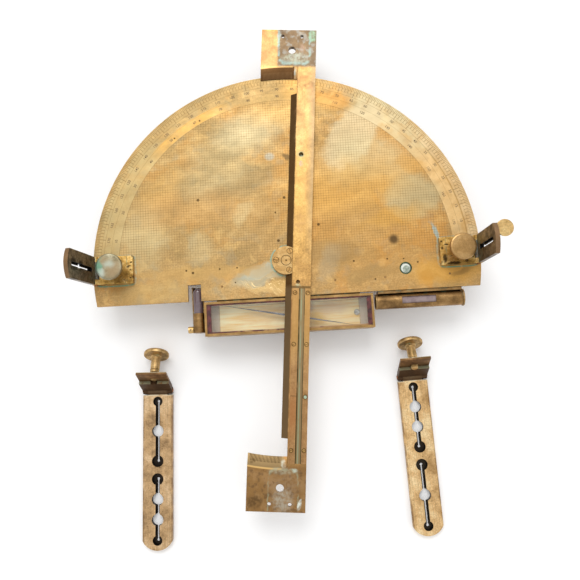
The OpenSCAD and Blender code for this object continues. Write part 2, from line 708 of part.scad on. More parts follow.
// Vane in its own frame: hinge axis along X through the origin, Y along the vane,
// Z from its outer to its inner face
module vane_blank(w, len, t, crown, barrel_bore) {
    end_r = (w * w / 4 + crown * crown) / (2 * crown);
    barrel_w = w - 2 * knuckle_w - 2 * knuckle_gap;
    difference() {
        union() {
            translate([0, 0, hinge_out - t]) intersection() {
                translate([-w / 2, vane_root, 0]) cube([w, len - vane_root, t]);
                union() {
                    translate([-w / 2, 0, 0]) cube([w, len - crown, t]);
                    translate([0, len - end_r, 0]) intersection() {
                        cylinder(r = end_r, h = t, $fn = 128);
                        translate([-w, end_r - crown - eps, -1]) cube([2 * w, far, t + 2]);
                    }
                }
            }
            translate([-barrel_w / 2, 0, hinge_out - t])
                cube([barrel_w, vane_root + 1, t]);
            rotate([0, 90, 0]) cylinder(r = barrel_r, h = barrel_w, center = true);
        }
        rotate([0, 90, 0]) cylinder(r = barrel_bore, h = 2 * w, center = true);
    }
}

// One slit: a channel with round wells at its ends and round windows through the vane between
module slit(start, len, windows, end_radii, t) {
    translate([-channel_w / 2, start, hinge_out - t + web_t]) cube([channel_w, len, t]);
    translate([-slit_w / 2, start, hinge_out - t - 1]) cube([slit_w, len, t + 2]);
    for (i = [0, 1]) translate([0, start + i * len, hinge_out - t + web_t])
        cylinder(r = end_radii[i], h = t);
    for (i = [0, 1]) translate([0, start + i * len, hinge_out - t - 1])
        cylinder(r = slit_hole_r, h = t + 2);
    for (i = [1 : windows]) translate([0, start + i * len / (windows + 1), hinge_out - t - 1])
        cylinder(r = window_r, h = t + 2);
}

// Long vane: the windows of one sight face the solid slit of the other
module long_vane_shape(near_windows) {
    difference() {
        vane_blank(sight_w, long_vane, long_t, long_crown, hinge_pin_r);
        slit(slit_start, slit_len, near_windows, [well_r, window_r], long_t);
        slit(slit_start + slit_len + slit_gap, slit_len, 3 - near_windows,
            [window_r, well_r], long_t);
    }
}

module short_vane_shape(hole_at) {
    difference() {
        vane_blank(end_sight_w, short_len, short_t, short_crown, hinge_pin_r + run_fit);
        translate([0, short_slit_start, hinge_out - short_t]) {
            translate([-channel_w / 2, 0, web_t]) cube([channel_w, short_slit_len, short_t]);
            translate([-slit_w / 2, 0, -1]) cube([slit_w, short_slit_len, short_t]);
            for (y = [0, short_slit_len]) translate([0, y, web_t])
                cylinder(r = channel_w / 2, h = short_t);
            translate([0, hole_at * short_slit_len, -1]) cylinder(r = short_hole_r, h = short_t + 2);
        }
    }
}

// Places of the four sights; s is -1 for the left one and 1 for the right one
module at_end_foot(s) {
    translate([s * end_hinge_x, 0, hinge_z]) rotate([0, 0, s * 90]) children();
}
module at_end_vane(s, lean) {
    at_end_foot(s) rotate([90 + lean, 0, 0]) rotate([0, 180, 0]) children();
}
module at_table_vane(s) {
    translate([s < 0 ? -left_sight_x : right_sight_x, -table_sight_y, table_hinge_z])
        rotate([0, 0, s < 0 ? left_sight_deg : right_sight_deg]) rotate([0, 0, 180]) children();
}
module at_table_foot(s) {
    at_table_vane(s) rotate([foot_lean_deg - 90, 0, 0]) rotate([0, 0, 180]) children();
}

module end_foot() {
    foot(end_sight_w, end_screw_a, end_step_len, end_step, hinge_pin_r);
}
module table_foot() {
    foot(sight_w, screw_a, rule_step_len, rule_step, hinge_pin_r + run_fit);
}
module left_end_foot() color(old_brass) at_end_foot(-1) end_foot();
module right_end_foot() color(old_brass) at_end_foot(1) end_foot();
module end_steady_pins() color(pale_brass) for (s = [-1, 1]) at_end_foot(s) steady_pins();
module hinge_pins() color("#a5603c") {
    for (s = [-1, 1]) at_end_foot(s) rotate([0, 90, 0])
        cylinder(r = hinge_pin_r, h = end_sight_w + 1, center = true);
    for (s = [-1, 1]) at_table_vane(s) rotate([0, 90, 0])
        cylinder(r = hinge_pin_r, h = sight_w + 1, center = true);
}
module left_end_vane() color(dark_brass) at_end_vane(-1, left_lean_deg) short_vane_shape(0.51);
module right_end_vane() color(dark_brass) at_end_vane(1, 0) short_vane_shape(0.05);
module left_long_vane() color(old_brass) at_table_vane(-1) long_vane_shape(1);
module right_long_vane() color(old_brass) at_table_vane(1) long_vane_shape(2);
module left_sight_foot() color(old_brass) at_table_foot(-1) table_foot();
module right_sight_foot() color(old_brass) at_table_foot(1) table_foot();
module left_sight_steady_pins() color(pale_brass) at_table_foot(-1) steady_pins();
module right_sight_steady_pins() color(pale_brass) at_table_foot(1) steady_pins();

// Thumb screws of the base line come from above, those of the rule from below
module end_thumb_screw(s) {
    at_end_foot(s) translate([0, end_screw_a, foot_t - hinge_rise + 0.05])
        thumb_screw(foot_t + limb_t + thread_out);
}
module table_thumb_screw(s) {
    backed_out = s < 0 ? left_backed_out : right_backed_out;
    at_table_foot(s) translate([0, screw_a, -hinge_rise - 0.05 - backed_out]) mirror([0, 0, 1])
        thumb_screw(rule_t + foot_t - rule_step);
}
module left_end_thumb_screw() color(pale_brass) end_thumb_screw(-1);
module right_end_thumb_screw() color(dark_brass) end_thumb_screw(1);
module left_sight_thumb_screw() color(old_brass) table_thumb_screw(-1);
module right_sight_thumb_screw() color(old_brass) table_thumb_screw(1);

// Small lug on the outer face of the right vane, with an upright disc-headed screw in it
module on_right_vane() {
    at_end_vane(1, 0) translate([-disc_y, disc_rise, hinge_out - short_t]) children();
}
module vane_lug() color(old_brass) on_right_vane() difference() {
    translate([-2.6, -lug_t, -lug_reach - 1.6]) cube([5.2, lug_t, lug_reach + 1.6]);
    translate([0, 1, -lug_reach + 0.6]) rotate([90, 0, 0])
        cylinder(r = small_r + run_fit, h = lug_t + 2);
}
module vane_disc_screw() color(pale_brass) on_right_vane() translate([0, 0, -lug_reach + 0.6])
    rotate([-90, 0, 0]) rotate_extrude($fn = 64) polygon([[0, -lug_t - 1], [small_r, -lug_t - 1],
        [small_r, 0.1], [1.6, 0.1], [1.6, 0.9], [disc_r - 0.4, 0.9], [disc_r, 1.3],
        [disc_r, 0.9 + disc_t - 0.3], [disc_r - 0.4, 0.9 + disc_t], [0, 0.9 + disc_t]]);

// Cross-section of the rule between its vernier plates
module rule_profile() {
    polygon([[0, 0], [rule_w, 0], [rule_w, rule_t], [bevel_w, rule_t], [0, edge_t]]);
}

// Vernier plate at the upper end: its sloping band follows the limb's edge
module vernier_end() {
    intersection() {
        translate([-vernier_w, vernier_r * 0.9, 0])
            cube([vernier_w + bevel_w + 1, rule_half - vernier_r * 0.9, rule_t]);
        rotate_extrude($fn = 256) polygon([[vernier_r, 0], [far, 0],
            [far, rule_t], [vernier_r + vernier_band, rule_t], [vernier_r, edge_t]]);
    }
}

module sight_rule() color(old_brass) on_rule() translate([0, 0, rule_z]) difference() {
    union() {
        translate([0, bevel_half, 0]) rotate([90, 0, 0]) linear_extrude(2 * bevel_half) rule_profile();
        translate([bevel_w, -rule_half, 0]) cube([rule_w - bevel_w, 2 * rule_half, rule_t]);
        cylinder(r = flange_r, h = rule_t);
        vernier_end();
        mirror([0, 1, 0]) vernier_end();
    }
    // Seat of the pivot flange, collar room and journal
    translate([0, 0, rule_t - flange_t]) intersection() {
        cylinder(r = flange_r + eps, h = far);
        translate([-far, -far, 0]) cube([far + bevel_w, 2 * far, far]);
    }
    translate([0, 0, rule_t - flange_t - collar_t - 0.1]) cylinder(r = pin_r + collar_w + run_fit, h = far);
    translate([0, 0, -1]) cylinder(r = pin_r + run_fit, h = far);
    for (a = [-1, 0, 1]) flange_screw_place(a) translate([0, 0, 0.8]) cylinder(r = small_r, h = far);
    translate([rule_w / 2 - 0.2, rule_hole_y, -1]) cylinder(r = rule_hole_r, h = far);
    translate([rule_w / 2 - 0.1, -rule_small_hole_y, -1]) cylinder(r = rule_small_hole_r, h = far);
    for (s = [-1, 1]) {
        translate([0, s * seat_y, -1]) cylinder(r = seat_hole_r, h = far);
        for (t = [-1, 1]) translate([t * steady_x, s * steady_seat_y, -1])
            cylinder(r = steady_r + 0.15, h = far);
    }
    strip_screw_places() translate([0, 0, 1]) cylinder(r = strip_shank_r, h = far);
}

module pivot_flange() color(pale_brass) on_rule() translate([0, 0, rule_top - flange_t]) difference() {
    intersection() {
        cylinder(r = flange_r, h = flange_t);
        translate([-far, -far, 0]) cube([far + bevel_w, 2 * far, far]);
    }
    translate([0, 0, -1]) cylinder(r = pin_r + run_fit, h = far);
    for (a = [-1, 0, 1]) flange_screw_place(a) {
        translate([0, 0, -1]) cylinder(r = small_r, h = far);
        translate([0, 0, flange_t - 0.8]) cylinder(r = flange_screw_r, h = far);
    }
}

// The flange's screws: one opposite the rule and one to each side of it
module flange_screw_place(a) {
    rotate([0, 0, a == 0 ? 180 : a * flange_screw_deg]) translate([flange_screw_pcr, 0, 0]) children();
}
module flange_screws() color(dark_brass) on_rule() for (a = [-1, 0, 1])
    flange_screw_place(a) translate([0, 0, rule_top])
        slotted_screw(flange_screw_r, 0.8, small_r, rule_t - 0.8, a * 40);

// The left strip is in two lengths that meet at a joint
module guide_strips() color(old_brass) on_rule() translate([0, 0, rule_top]) difference() {
    union() {
        translate([strip_left_x, -strip_joint, 0])
            cube([strip_left_w, strip_joint - strip_start, strip_t]);
        translate([strip_left_x, -strip_end, 0])
            cube([strip_left_w, strip_end - strip_joint - strip_joint_gap, strip_t]);
        translate([strip_right_x, -strip_end, 0])
            cube([strip_right_w, strip_end - strip_start, strip_t]);
    }
    strip_screw_places() {
        translate([0, 0, -1]) cylinder(r = strip_shank_r, h = far);
        translate([0, 0, strip_t - 0.6]) cylinder(r = strip_screw_r, h = far);
    }
}

// Four screws in the right strip and three in the left, which has its joint at the third place
module strip_screw_places() {
    for (i = [0 : 3]) for (x = i == 2 ? [screw_x_right] : [screw_x_left, screw_x_right])
        translate([x, -strip_screw_start - i * strip_screw_pitch, 0]) children();
}

module guide_screws() color(dark_brass) on_rule() strip_screw_places()
    translate([0, 0, rule_top + strip_t])
        slotted_screw(strip_screw_r, 0.6, strip_shank_r, strip_t + rule_t - 1, 25);

limb_plate();
pivot_pin();
pivot_nut();
staff_socket();
socket_screws();
compass_box();
compass_bracket();
bracket_screws();
compass_glass();
sealing_strips();
compass_card();
needle_point();
cross_level_tube();
cross_level_vial();
cross_level_block();
long_level_tube();
long_level_caps();
long_level_vial();
long_level_bracket();
eye_ring();
eye_glass();
left_end_foot();
right_end_foot();
end_steady_pins();
hinge_pins();
left_long_vane();
right_long_vane();
sight_rule();
pivot_flange();
flange_screws();
guide_strips();
guide_screws();
compass_needle();
needle_cap();
lifter_lever();
lifter_screw();
left_end_vane();
right_end_vane();
vane_lug();
vane_disc_screw();
left_end_thumb_screw();
right_end_thumb_screw();
left_sight_foot();
right_sight_foot();
left_sight_steady_pins();
right_sight_steady_pins();
left_sight_thumb_screw();
right_sight_thumb_screw();
capstan_screw();
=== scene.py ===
"""Graphometer: the CAD frame dressed in old brass, glass and paper, seen as in the photograph."""
import json
import math

import bmesh
import bpy
from mathutils import Matrix, Vector

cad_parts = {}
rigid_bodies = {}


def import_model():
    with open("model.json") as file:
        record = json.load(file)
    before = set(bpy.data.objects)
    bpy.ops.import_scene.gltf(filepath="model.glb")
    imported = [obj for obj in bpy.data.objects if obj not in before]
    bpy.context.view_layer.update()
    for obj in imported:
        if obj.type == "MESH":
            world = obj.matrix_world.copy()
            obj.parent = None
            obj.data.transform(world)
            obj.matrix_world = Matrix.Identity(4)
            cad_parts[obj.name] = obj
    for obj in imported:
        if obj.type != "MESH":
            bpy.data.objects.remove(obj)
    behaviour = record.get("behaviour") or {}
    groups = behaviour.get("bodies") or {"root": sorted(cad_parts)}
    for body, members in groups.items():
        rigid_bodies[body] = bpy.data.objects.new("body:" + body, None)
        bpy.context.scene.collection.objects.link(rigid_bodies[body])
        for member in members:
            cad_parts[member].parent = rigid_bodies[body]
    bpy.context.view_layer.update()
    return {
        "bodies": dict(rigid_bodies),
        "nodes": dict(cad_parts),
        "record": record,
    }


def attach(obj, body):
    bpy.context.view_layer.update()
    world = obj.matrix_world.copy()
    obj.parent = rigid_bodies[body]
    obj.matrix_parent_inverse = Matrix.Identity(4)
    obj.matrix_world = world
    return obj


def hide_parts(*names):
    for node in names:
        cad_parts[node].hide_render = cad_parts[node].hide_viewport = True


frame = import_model()
nodes = frame["nodes"]
body_names = {empty: name for name, empty in frame["bodies"].items()}
slots = {part["node"]: part["material_slot"] for part in frame["record"]["subparts"]}
mm = 0.001

# Sizes and places of the instrument in millimetres, as in its CAD source
FACE_Z = 36
SCALE_R = 130
GRID_STEP = 2
FLANGE_R = 11.9
# The feet of the base line: their middle from the pivot, and half of their verdigris's outline
FOOT_X = 132.6
FOOT_HALF = (15.6, 11.9)
THUMB_X = 131.4
THUMB_Z = 40.55
# The end vanes' hinges from the pivot and over the table, and each vane's lean in degrees
END_HINGE = (147, 39.2)
END_LEAN = {"left": 6.5, "right": 0}
# The loose sights: X of the hinge and turn in degrees, then Y and Z of both hinges
LOOSE_SIGHTS = {"left": (-109.85, -1.95), "right": (95.5, 1.8)}
LOOSE_HINGE = (-94.4, 3.6)
# A loose foot leans by this angle, and its thumb screw sits so far from the hinge
LOOSE_LEAN = 25
LOOSE_SCREW_Y = 17.6

# The sight rule's turn, and places along its own axes
RULE_DEGREES = 4.77
RULE_TURN = math.radians(RULE_DEGREES)
BAND_R = (147, 156.2)
TICK_R = (147.2, 152.2)
TICK_STEP = 0.39
PLATE_Y = 156.5
STRIPS_Y = (-152, -21.5)
GROOVE_X = (10.4, 15.2)
GUIDE_SCREW_X = (7.5, 17.15)
GUIDE_SCREW_START = 25
GUIDE_SCREW_PITCH = 39.1

# Stains with a smaller reach than this keep a round edge
SMALL_STAIN = 4


# Tools for materials
def linear(colour):
    """A hex colour in sRGB as linear RGBA."""
    parts = [int(colour[i:i + 2], 16) / 255 for i in (1, 3, 5)]
    return [c / 12.92 if c <= 0.04045 else ((c + 0.055) / 1.055) ** 2.4 for c in parts] + [1]


def add(tree, kind, values=None, **settings):
    """Adds a node; values gives its inputs by name or number, as values or as sockets to link, where
    a node stands for its first output."""
    node = tree.nodes.new("ShaderNode" + kind)
    for name, value in settings.items():
        setattr(node, name, value)
    for key, value in (values or {}).items():
        if isinstance(value, bpy.types.Node):
            value = value.outputs[0]
        if isinstance(value, bpy.types.NodeSocket):
            tree.links.new(value, node.inputs[key])
        elif isinstance(value, str):
            node.inputs[key].default_value = linear(value)
        else:
            node.inputs[key].default_value = value
    return node


def paint(tree, colour):
    """Connects a colour to the shader of its material."""
    tree.links.new(colour, tree.nodes["Principled BSDF"].inputs["Base Color"])


def lay(tree, colour, mask, strength=1.0):
    """Lays a colour over the material's present one where the mask says so."""
    base = tree.nodes["Principled BSDF"].inputs["Base Color"]
    below = base.links[0].from_socket if base.links else base.default_value[:]
    part = add(tree, "Math", {0: mask, 1: strength}, operation="MULTIPLY")
    paint(tree, add(tree, "Mix", {0: part, 6: below, 7: colour}, data_type="RGBA").outputs[2])


def stain(tree, place, centre, reach, turn=0, soft=0.6):
    """Mask of a stain: an ellipse with its reach in mm, turned in degrees, with a soft edge."""
    local = add(tree, "Mapping", {
        "Vector": place, "Location": [c * mm for c in centre] + [0],
        "Rotation": [0, 0, math.radians(turn)], "Scale": [reach[0] * mm, reach[1] * mm, 10]},
        vector_type="TEXTURE")
    far = add(tree, "VectorMath", {0: local}, operation="LENGTH").outputs["Value"]
    return add(tree, "MapRange", {0: far, 1: 1 + soft / 2, 2: 1 - soft / 2, 3: 0, 4: 1},
               interpolation_type="SMOOTHSTEP")


def ragged(tree, place, size, amount):
    """Coordinates pushed about by noise of the given grain size and amount in mm."""
    noise = add(tree, "TexNoise", {"Vector": place, "Scale": 1 / (size * mm), "Detail": 4}).outputs["Color"]
    shift = add(tree, "VectorMath", {0: noise, 1: [0.5, 0.5, 0.5]}, operation="SUBTRACT")
    push = add(tree, "VectorMath", {0: shift, "Scale": 2 * amount * mm}, operation="SCALE")
    return add(tree, "VectorMath", {0: place, 1: push}, operation="ADD")


def within(tree, value, low, high, soft=0.4):
    """Mask that is 1 where the value lies between low and high, with an edge as wide as soft."""
    away = add(tree, "Math", {0: value, 1: (low + high) / 2}, operation="SUBTRACT")
    far = add(tree, "Math", {0: away}, operation="ABSOLUTE")
    half = (high - low) / 2
    return add(tree, "MapRange", {0: far, 1: half + soft / 2, 2: half - soft / 2})


def both(tree, one, other):
    """Mask where two masks meet."""
    return add(tree, "Math", {0: one, 1: other}, operation="MULTIPLY")


def area(tree, x, y, across, along):
    """Mask of a rectangle: from, to and softness in X, and the same in Y."""
    return both(tree, within(tree, x, *across), within(tree, y, *along))


def plan(tree, place, turn=0):
    """X and Y in mm, after turning the plan by an angle in radians."""
    own = add(tree, "Mapping", {"Vector": place, "Rotation": [0, 0, turn], "Scale": [1000] * 3})
    split = add(tree, "SeparateXYZ", {0: own}).outputs
    return split["X"], split["Y"]


def distance(tree, x, y):
    """Distance of X and Y from their origin."""
    flat = add(tree, "CombineXYZ", {0: x, 1: y})
    return add(tree, "VectorMath", {0: flat}, operation="LENGTH").outputs["Value"]


def metres(tree, x, y):
    """A place in metres from X and Y in mm."""
    flat = add(tree, "CombineXYZ", {0: x, 1: y})
    return add(tree, "VectorMath", {0: flat, "Scale": mm}, operation="SCALE")


def own_axes(tree, place, matrix, unit=1):
    """Coordinates along a piece's own axes, from the matrix of its place, in units of so many mm."""
    own = add(tree, "Mapping", {"Vector": place, "Location": matrix.translation,
                                "Rotation": matrix.to_euler(), "Scale": [unit * mm] * 3},
              vector_type="TEXTURE")
    return add(tree, "SeparateXYZ", {0: own}).outputs


def outline(tree, x, y, centre, half, width, power=6):
    """Mask of the line left round a plate: a rectangle with round corners, in mm."""
    parts = []
    for value, mid, reach in ((x, centre[0], half[0]), (y, centre[1], half[1])):
        away = add(tree, "Math", {0: value, 1: mid}, operation="SUBTRACT")
        share = add(tree, "Math", {0: away, 1: reach}, operation="DIVIDE")
        size = add(tree, "Math", {0: share}, operation="ABSOLUTE")
        parts.append(add(tree, "Math", {0: size, 1: power}, operation="POWER"))
    total = add(tree, "Math", {0: parts[0], 1: parts[1]}, operation="ADD")
    root = add(tree, "Math", {0: total, 1: 1 / power}, operation="POWER")
    share = width / min(half)
    return within(tree, root, 1 - share / 2, 1 + share / 2, share * 0.8)


def rays(tree, angle, r, step, width):
    """Mask of lines towards the centre, a step in degrees apart and width in mm to each side."""
    near = add(tree, "Math", {0: angle, 1: math.radians(step / 2)}, operation="PINGPONG")
    gap = add(tree, "Math", {0: near, 1: r}, operation="MULTIPLY")
    return add(tree, "Math", {0: gap, 1: width}, operation="LESS_THAN")


def patchy(tree, place, size, low, high, least=0):
    """Mask from noise of the given grain in mm, from least where it is low to 1 where it is high."""
    noise = add(tree, "TexNoise", {"Vector": place, "Scale": 1 / (size * mm), "Detail": 4}).outputs["Fac"]
    return add(tree, "MapRange", {0: noise, 1: low, 2: high, 3: least})


# Materials by the name of their slot or node
materials = {}


def plain(name, label, colour, **inputs):
    """Makes a material of one colour and returns its tree; inputs are the shader's sockets by name."""
    material = materials[name] = bpy.data.materials.new(label)
    material.use_nodes = True
    shader = material.node_tree.nodes["Principled BSDF"]
    shader.inputs["Base Color"].default_value = linear(colour)
    for key, value in inputs.items():
        shader.inputs[key.replace("_", " ")].default_value = value
    return material.node_tree


def aged_metal(name, label, dull, warm, bright, roughness, brush=(0, 60, 0.7), clouds=16, pits="#5c4526",
               pit_share=0.06, grime_and_shade="#4d3c22", grime_and_shade_reach=2.0, contrast=1.0, offset=0, lathe=None,
               green=0.0, mottle=0.12, drift=(0, 1)):
    """Old worked metal: clouds of tarnish between dull, warm and bright, their grain in mm, brushing
    along one way (turn in degrees, streak length and width in mm) or round a lathe's axis, dark
    pits, and dirt with painted shade darkening the corners within its reach in mm, partly green.
    mottle is the depth of the fine speckles, drift the turn and the length of the clouds, and offset
    moves the patterns by so many mm. Returns the tree and the place."""
    tree = plain(name, label, dull, Metallic=1)
    shader = tree.nodes["Principled BSDF"]
    place = add(tree, "TexCoord").outputs["Object"]
    moved = add(tree, "Mapping", {"Vector": place, "Location": [offset * mm, offset * mm, 0]})
    drawn = add(tree, "Mapping", {"Vector": moved, "Rotation": [0, 0, math.radians(drift[0])],
                                  "Scale": [clouds * drift[1] * mm, clouds * mm, clouds * mm]},
                vector_type="TEXTURE")
    cloud = add(tree, "TexNoise", {"Vector": drawn, "Scale": 1, "Detail": 7, "Roughness": 0.68})
    cloud = cloud.outputs["Fac"]
    tone = add(tree, "MapRange", {0: cloud, 1: 0.5 - 0.17 / contrast, 2: 0.5 + 0.17 / contrast})
    ramp = add(tree, "ValToRGB", {0: tone})
    ramp.color_ramp.elements[0].color = linear(dull)
    ramp.color_ramp.elements[1].color = linear(bright)
    ramp.color_ramp.elements.new(0.5).color = linear(warm)
    turn, length, width = brush
    if lathe:
        own = own_axes(tree, place, lathe, width)
        along = add(tree, "CombineXYZ", {0: distance(tree, own["X"], own["Y"]), 2: own["Z"]})
    else:
        along = add(tree, "Mapping", {"Vector": moved, "Rotation": [0, 0, math.radians(turn)],
                                      "Scale": [length * mm, width * mm, width * mm]},
                    vector_type="TEXTURE")
    streak = add(tree, "TexNoise", {"Vector": along, "Scale": 1, "Detail": 3}).outputs["Fac"]
    shade = ramp.outputs[0]
    grain = add(tree, "TexNoise", {"Vector": moved, "Scale": 1 / (1.1 * mm), "Detail": 3}).outputs["Fac"]
    for fine, share in ((streak, 0.12), (grain, mottle)):
        light = add(tree, "MapRange", {0: fine, 1: 0.3, 2: 0.7, 3: 1 - share, 4: 1 + share})
        shade = add(tree, "Mix", {0: 1.0, 6: shade, 7: light}, data_type="RGBA",
                    blend_type="MULTIPLY").outputs[2]
    paint(tree, shade)
    lay(tree, pits, patchy(tree, moved, 1.6, 0.74 - pit_share, 0.8 - pit_share), 0.6)
    # Dirt and painted shade: a darker colour is laid in the corners that ambient occlusion finds
    near = add(tree, "AmbientOcclusion", {"Distance": grime_and_shade_reach * mm}, samples=6)
    shaded_corner = add(tree, "MapRange", {0: near.outputs["AO"], 1: 0.75, 2: 0.3})
    lay(tree, grime_and_shade, shaded_corner, 0.75)
    if green:
        wider = add(tree, "MapRange", {0: near.outputs["AO"], 1: 0.95, 2: 0.5})
        lay(tree, "#8fb39a", both(tree, wider, patchy(tree, moved, 5, 0.5, 0.6)), green)
    rough = add(tree, "MapRange", {0: cloud, 1: 0.3, 2: 0.7, 3: roughness + 0.1, 4: roughness - 0.06})
    tree.links.new(rough.outputs[0], shader.inputs["Roughness"])
    relief = add(tree, "Bump", {"Strength": 0.2, "Distance": 0.05 * mm, "Height": streak}).outputs[0]
    tree.links.new(relief, shader.inputs["Normal"])
    return tree, place


# The limb's face
# Stains of the limb: place in mm, reach in mm, turn in degrees, softness, colour, strength
STAINS = (
    ((-75, 60), (85, 70), 20, 1.0, "#a08a5c", 0.4),
    ((-38, 62), (30, 12), 15, 1.0, "#9c8862", 0.5),
    ((-95, 62), (22, 12), 40, 1.0, "#c49c5c", 0.5),
    ((-20, 30), (16, 20), 10, 1.0, "#a8895a", 0.4),
    ((28, 30), (18, 26), 0, 1.0, "#bf8f50", 0.45),
    ((60, 30), (30, 8), -12, 1.0, "#a38a62", 0.45),
    ((70, 40), (70, 60), 0, 1.0, "#c79650", 0.4),
    ((50, 74), (18, 16), 0, 1.0, "#b5a47a", 0.6),
    ((58, 98), (31, 17), 52, 0.3, "#c9b68f", 0.8),
    ((74, 78), (30, 17), -20, 0.8, "#c8ba90", 0.5),
    ((101, 46), (21, 17), 10, 0.5, "#b9ab83", 0.7),
    ((-32, 39.5), (9, 5.5), 40, 0.8, "#cbbd90", 0.5),
    ((-25, 106), (26, 15), 15, 0.9, "#c2b792", 0.6),
    ((-67, 13), (10, 12), 0, 1.0, "#c2b288", 0.35),
    ((-112, 26), (18, 24), 0, 0.9, "#cdbb8c", 0.5),
    ((-50, 78), (34, 18), 30, 1.0, "#b7a67c", 0.45),
    ((34, 6), (24, 10), 0, 1.0, "#94794f", 0.55),
    ((32, -4), (6, 15), -25, 1.0, "#a59c82", 0.35),
    ((52, 56), (44, 20), 10, 1.0, "#d0a257", 0.5),
    ((124, -14), (26, 10), 0, 1.0, "#dba54a", 0.6),
    ((134, -16), (9, 2.6), 4, 1.0, "#8d7046", 0.5),
    ((108, -16), (7, 3), -10, 1.0, "#c08a3e", 0.5),
    ((141, 22), (3, 9), -8, 1.0, "#b58a4c", 0.5),
    ((84, 30), (24, 7), 12, 1.0, "#d3a04c", 0.5),
    ((62, -14), (22, 5), 5, 1.0, "#9c8154", 0.45),
    ((100, 72), (12, 6), -30, 1.0, "#cf9c50", 0.5),
    ((40, 128), (16, 7), -15, 1.0, "#c98f45", 0.55),
    ((-70, 44), (46, 14), 0, 1.0, "#c79a5e", 0.4),
    ((10, 120), (34, 12), 0, 1.0, "#d8b06c", 0.5),
    ((84, 12.3), (3.4, 3.4), 0, 1.0, "#55422c", 0.9),
    ((16.4, 83.0), (1.3, 1.3), 0, 0.6, "#bccfb8", 0.9),
    ((-8.7, 84.2), (3.6, 3), 0, 0.9, "#a9a593", 0.8),
    ((5, 84), (4, 2.5), 0, 0.9, "#6b563a", 0.8),
    ((117, 15), (1.6, 8), 20, 0.8, "#9fb0a8", 0.85),
    ((-20, -9), (25, 7), 17, 0.5, "#b0ab92", 0.65),
    ((-14, -5), (22, 3), 20, 0.6, "#a9b0a2", 0.75),
    ((-16, -20), (15, 3), -8, 0.7, "#d6b67c", 0.6),
    ((-4, -17), (8, 4), 0, 0.7, "#c9a76a", 0.6),
    ((-100, -19), (34, 8), 0, 1.0, "#bf9f66", 0.5),
    ((-60, -6), (60, 5), 0, 1.0, "#c39e62", 0.5),
)
# Worn lengths of the scale's bands: from and to in degrees, inner and outer radius in mm, colour, strength
RING_TINTS = (
    (-4, 184, 130, 150, "#bfa673", 0.4),
    (136, 178, 130, 147, "#c9b684", 0.6),
    (110, 137, 130.5, 137, "#ecb55e", 0.85),
    (76, 88, 131, 147, "#e0ad5e", 0.65),
    (100, 140, 141.5, 150, "#a98e60", 0.6),
    (34, 64, 130, 150, "#d2c49c", 0.85),
    (4, 36, 130, 141, "#f0d19c", 0.7),
    (2, 40, 142, 150, "#e4cca2", 0.65),
)
# Small holes, painted dark as their shade, and dark screw ends: place and radius in mm
DOTS = (((-77.7, -3.1), 0.8), ((-72.6, -5.1), 1.0), ((-51.8, -3.2), 0.7), ((-38.3, -3.0), 0.7),
        ((52.1, -3.0), 0.8), ((77.9, -2.8), 0.7), ((90.6, -3.3), 0.6), ((101.2, -6.6), 0.7),
        ((-66.5, 52.3), 1.1), ((-83.2, 103.7), 0.7), ((-62.7, 117), 0.7), ((1.1, 50.4), 1.1),
        ((-5.2, 16.4), 1.1), ((-6.4, 38.9), 0.7), ((26.6, 27.4), 1.1), ((-40.1, -14.4), 0.6),
        ((67.7, -18.0), 0.7))
# Clouds where the old lacquer has gone amber, grey or pale: grain in mm, low, high, colour, strength
LACQUER_CLOUDS = ((23, 0.5, 0.62, "#d2913f", 0.38), (12, 0.54, 0.66, "#96907a", 0.38),
                  (9, 0.56, 0.64, "#e6bf7c", 0.35))
# Engraved circles of the scale: radius and half of the drawn width in mm
CIRCLES = ((149.2, 0.13), (146.6, 0.12), (144.0, 0.12), (141.8, 0.15), (136.4, 0.12), (130.0, 0.2))
# Divisions of the scale: step in degrees, mid radius, half length and half of the drawn width in mm
DIVISIONS = ((0.5, 147.9, 1.3, 0.17), (1, 145.3, 1.3, 0.22), (5, 142.9, 1.1, 0.25))


def limb_verdigris(tree, place, x, y):
    """Green that crept out from under the pivot's flange and the two feet of the base line."""
    edge = outline(tree, x, y, (0, 0), (FLANGE_R, FLANGE_R), 1.3, 2)
    lay(tree, "#8fae9c", both(tree, edge, patchy(tree, place, 4, 0.4, 0.5)), 0.85)
    for side in (-1, 1):
        edge = outline(tree, x, y, (side * FOOT_X, 0), FOOT_HALF, 1.0)
        lay(tree, "#a3b3a0", both(tree, edge, patchy(tree, place, 3, 0.35, 0.6)), 0.75)
        below = both(tree, edge, within(tree, y, -16, -11, 1))
        lay(tree, "#5f9a82", both(tree, below, patchy(tree, place, 4, 0.35, 0.5)), 0.85)


def limb_lines(tree, place, x, y, r, angle):
    """Engraved grid, circles and divisions, drawn 0.3 mm wide so that they show at the photo's scale."""
    ink = "#6b5230"
    # The grid fades towards the base line and is worn in clouds
    field = add(tree, "Math", {0: r, 1: SCALE_R}, operation="LESS_THAN")
    field = both(tree, field, add(tree, "MapRange", {0: y, 1: -8, 2: 14}))
    for axis in (x, y):
        near = add(tree, "Math", {0: axis, 1: GRID_STEP / 2}, operation="PINGPONG")
        line = add(tree, "Math", {0: near, 1: 0.15}, operation="LESS_THAN")
        worn = patchy(tree, place, 7, 0.3, 0.7, 0.35)
        lay(tree, ink, both(tree, both(tree, line, field), worn), 0.58)
    # The scale ends below the feet
    scaled = add(tree, "MapRange", {0: y, 1: -12, 2: -10})
    for radius, width in CIRCLES:
        line = add(tree, "Math", {0: r, 1: radius, 2: width}, operation="COMPARE")
        lay(tree, ink, both(tree, line, scaled), 0.4)
    for step, r_mid, r_half, width in DIVISIONS:
        band = add(tree, "Math", {0: r, 1: r_mid, 2: r_half}, operation="COMPARE")
        line = both(tree, rays(tree, angle, r, step, width), band)
        lay(tree, ink, both(tree, line, scaled), 0.6)


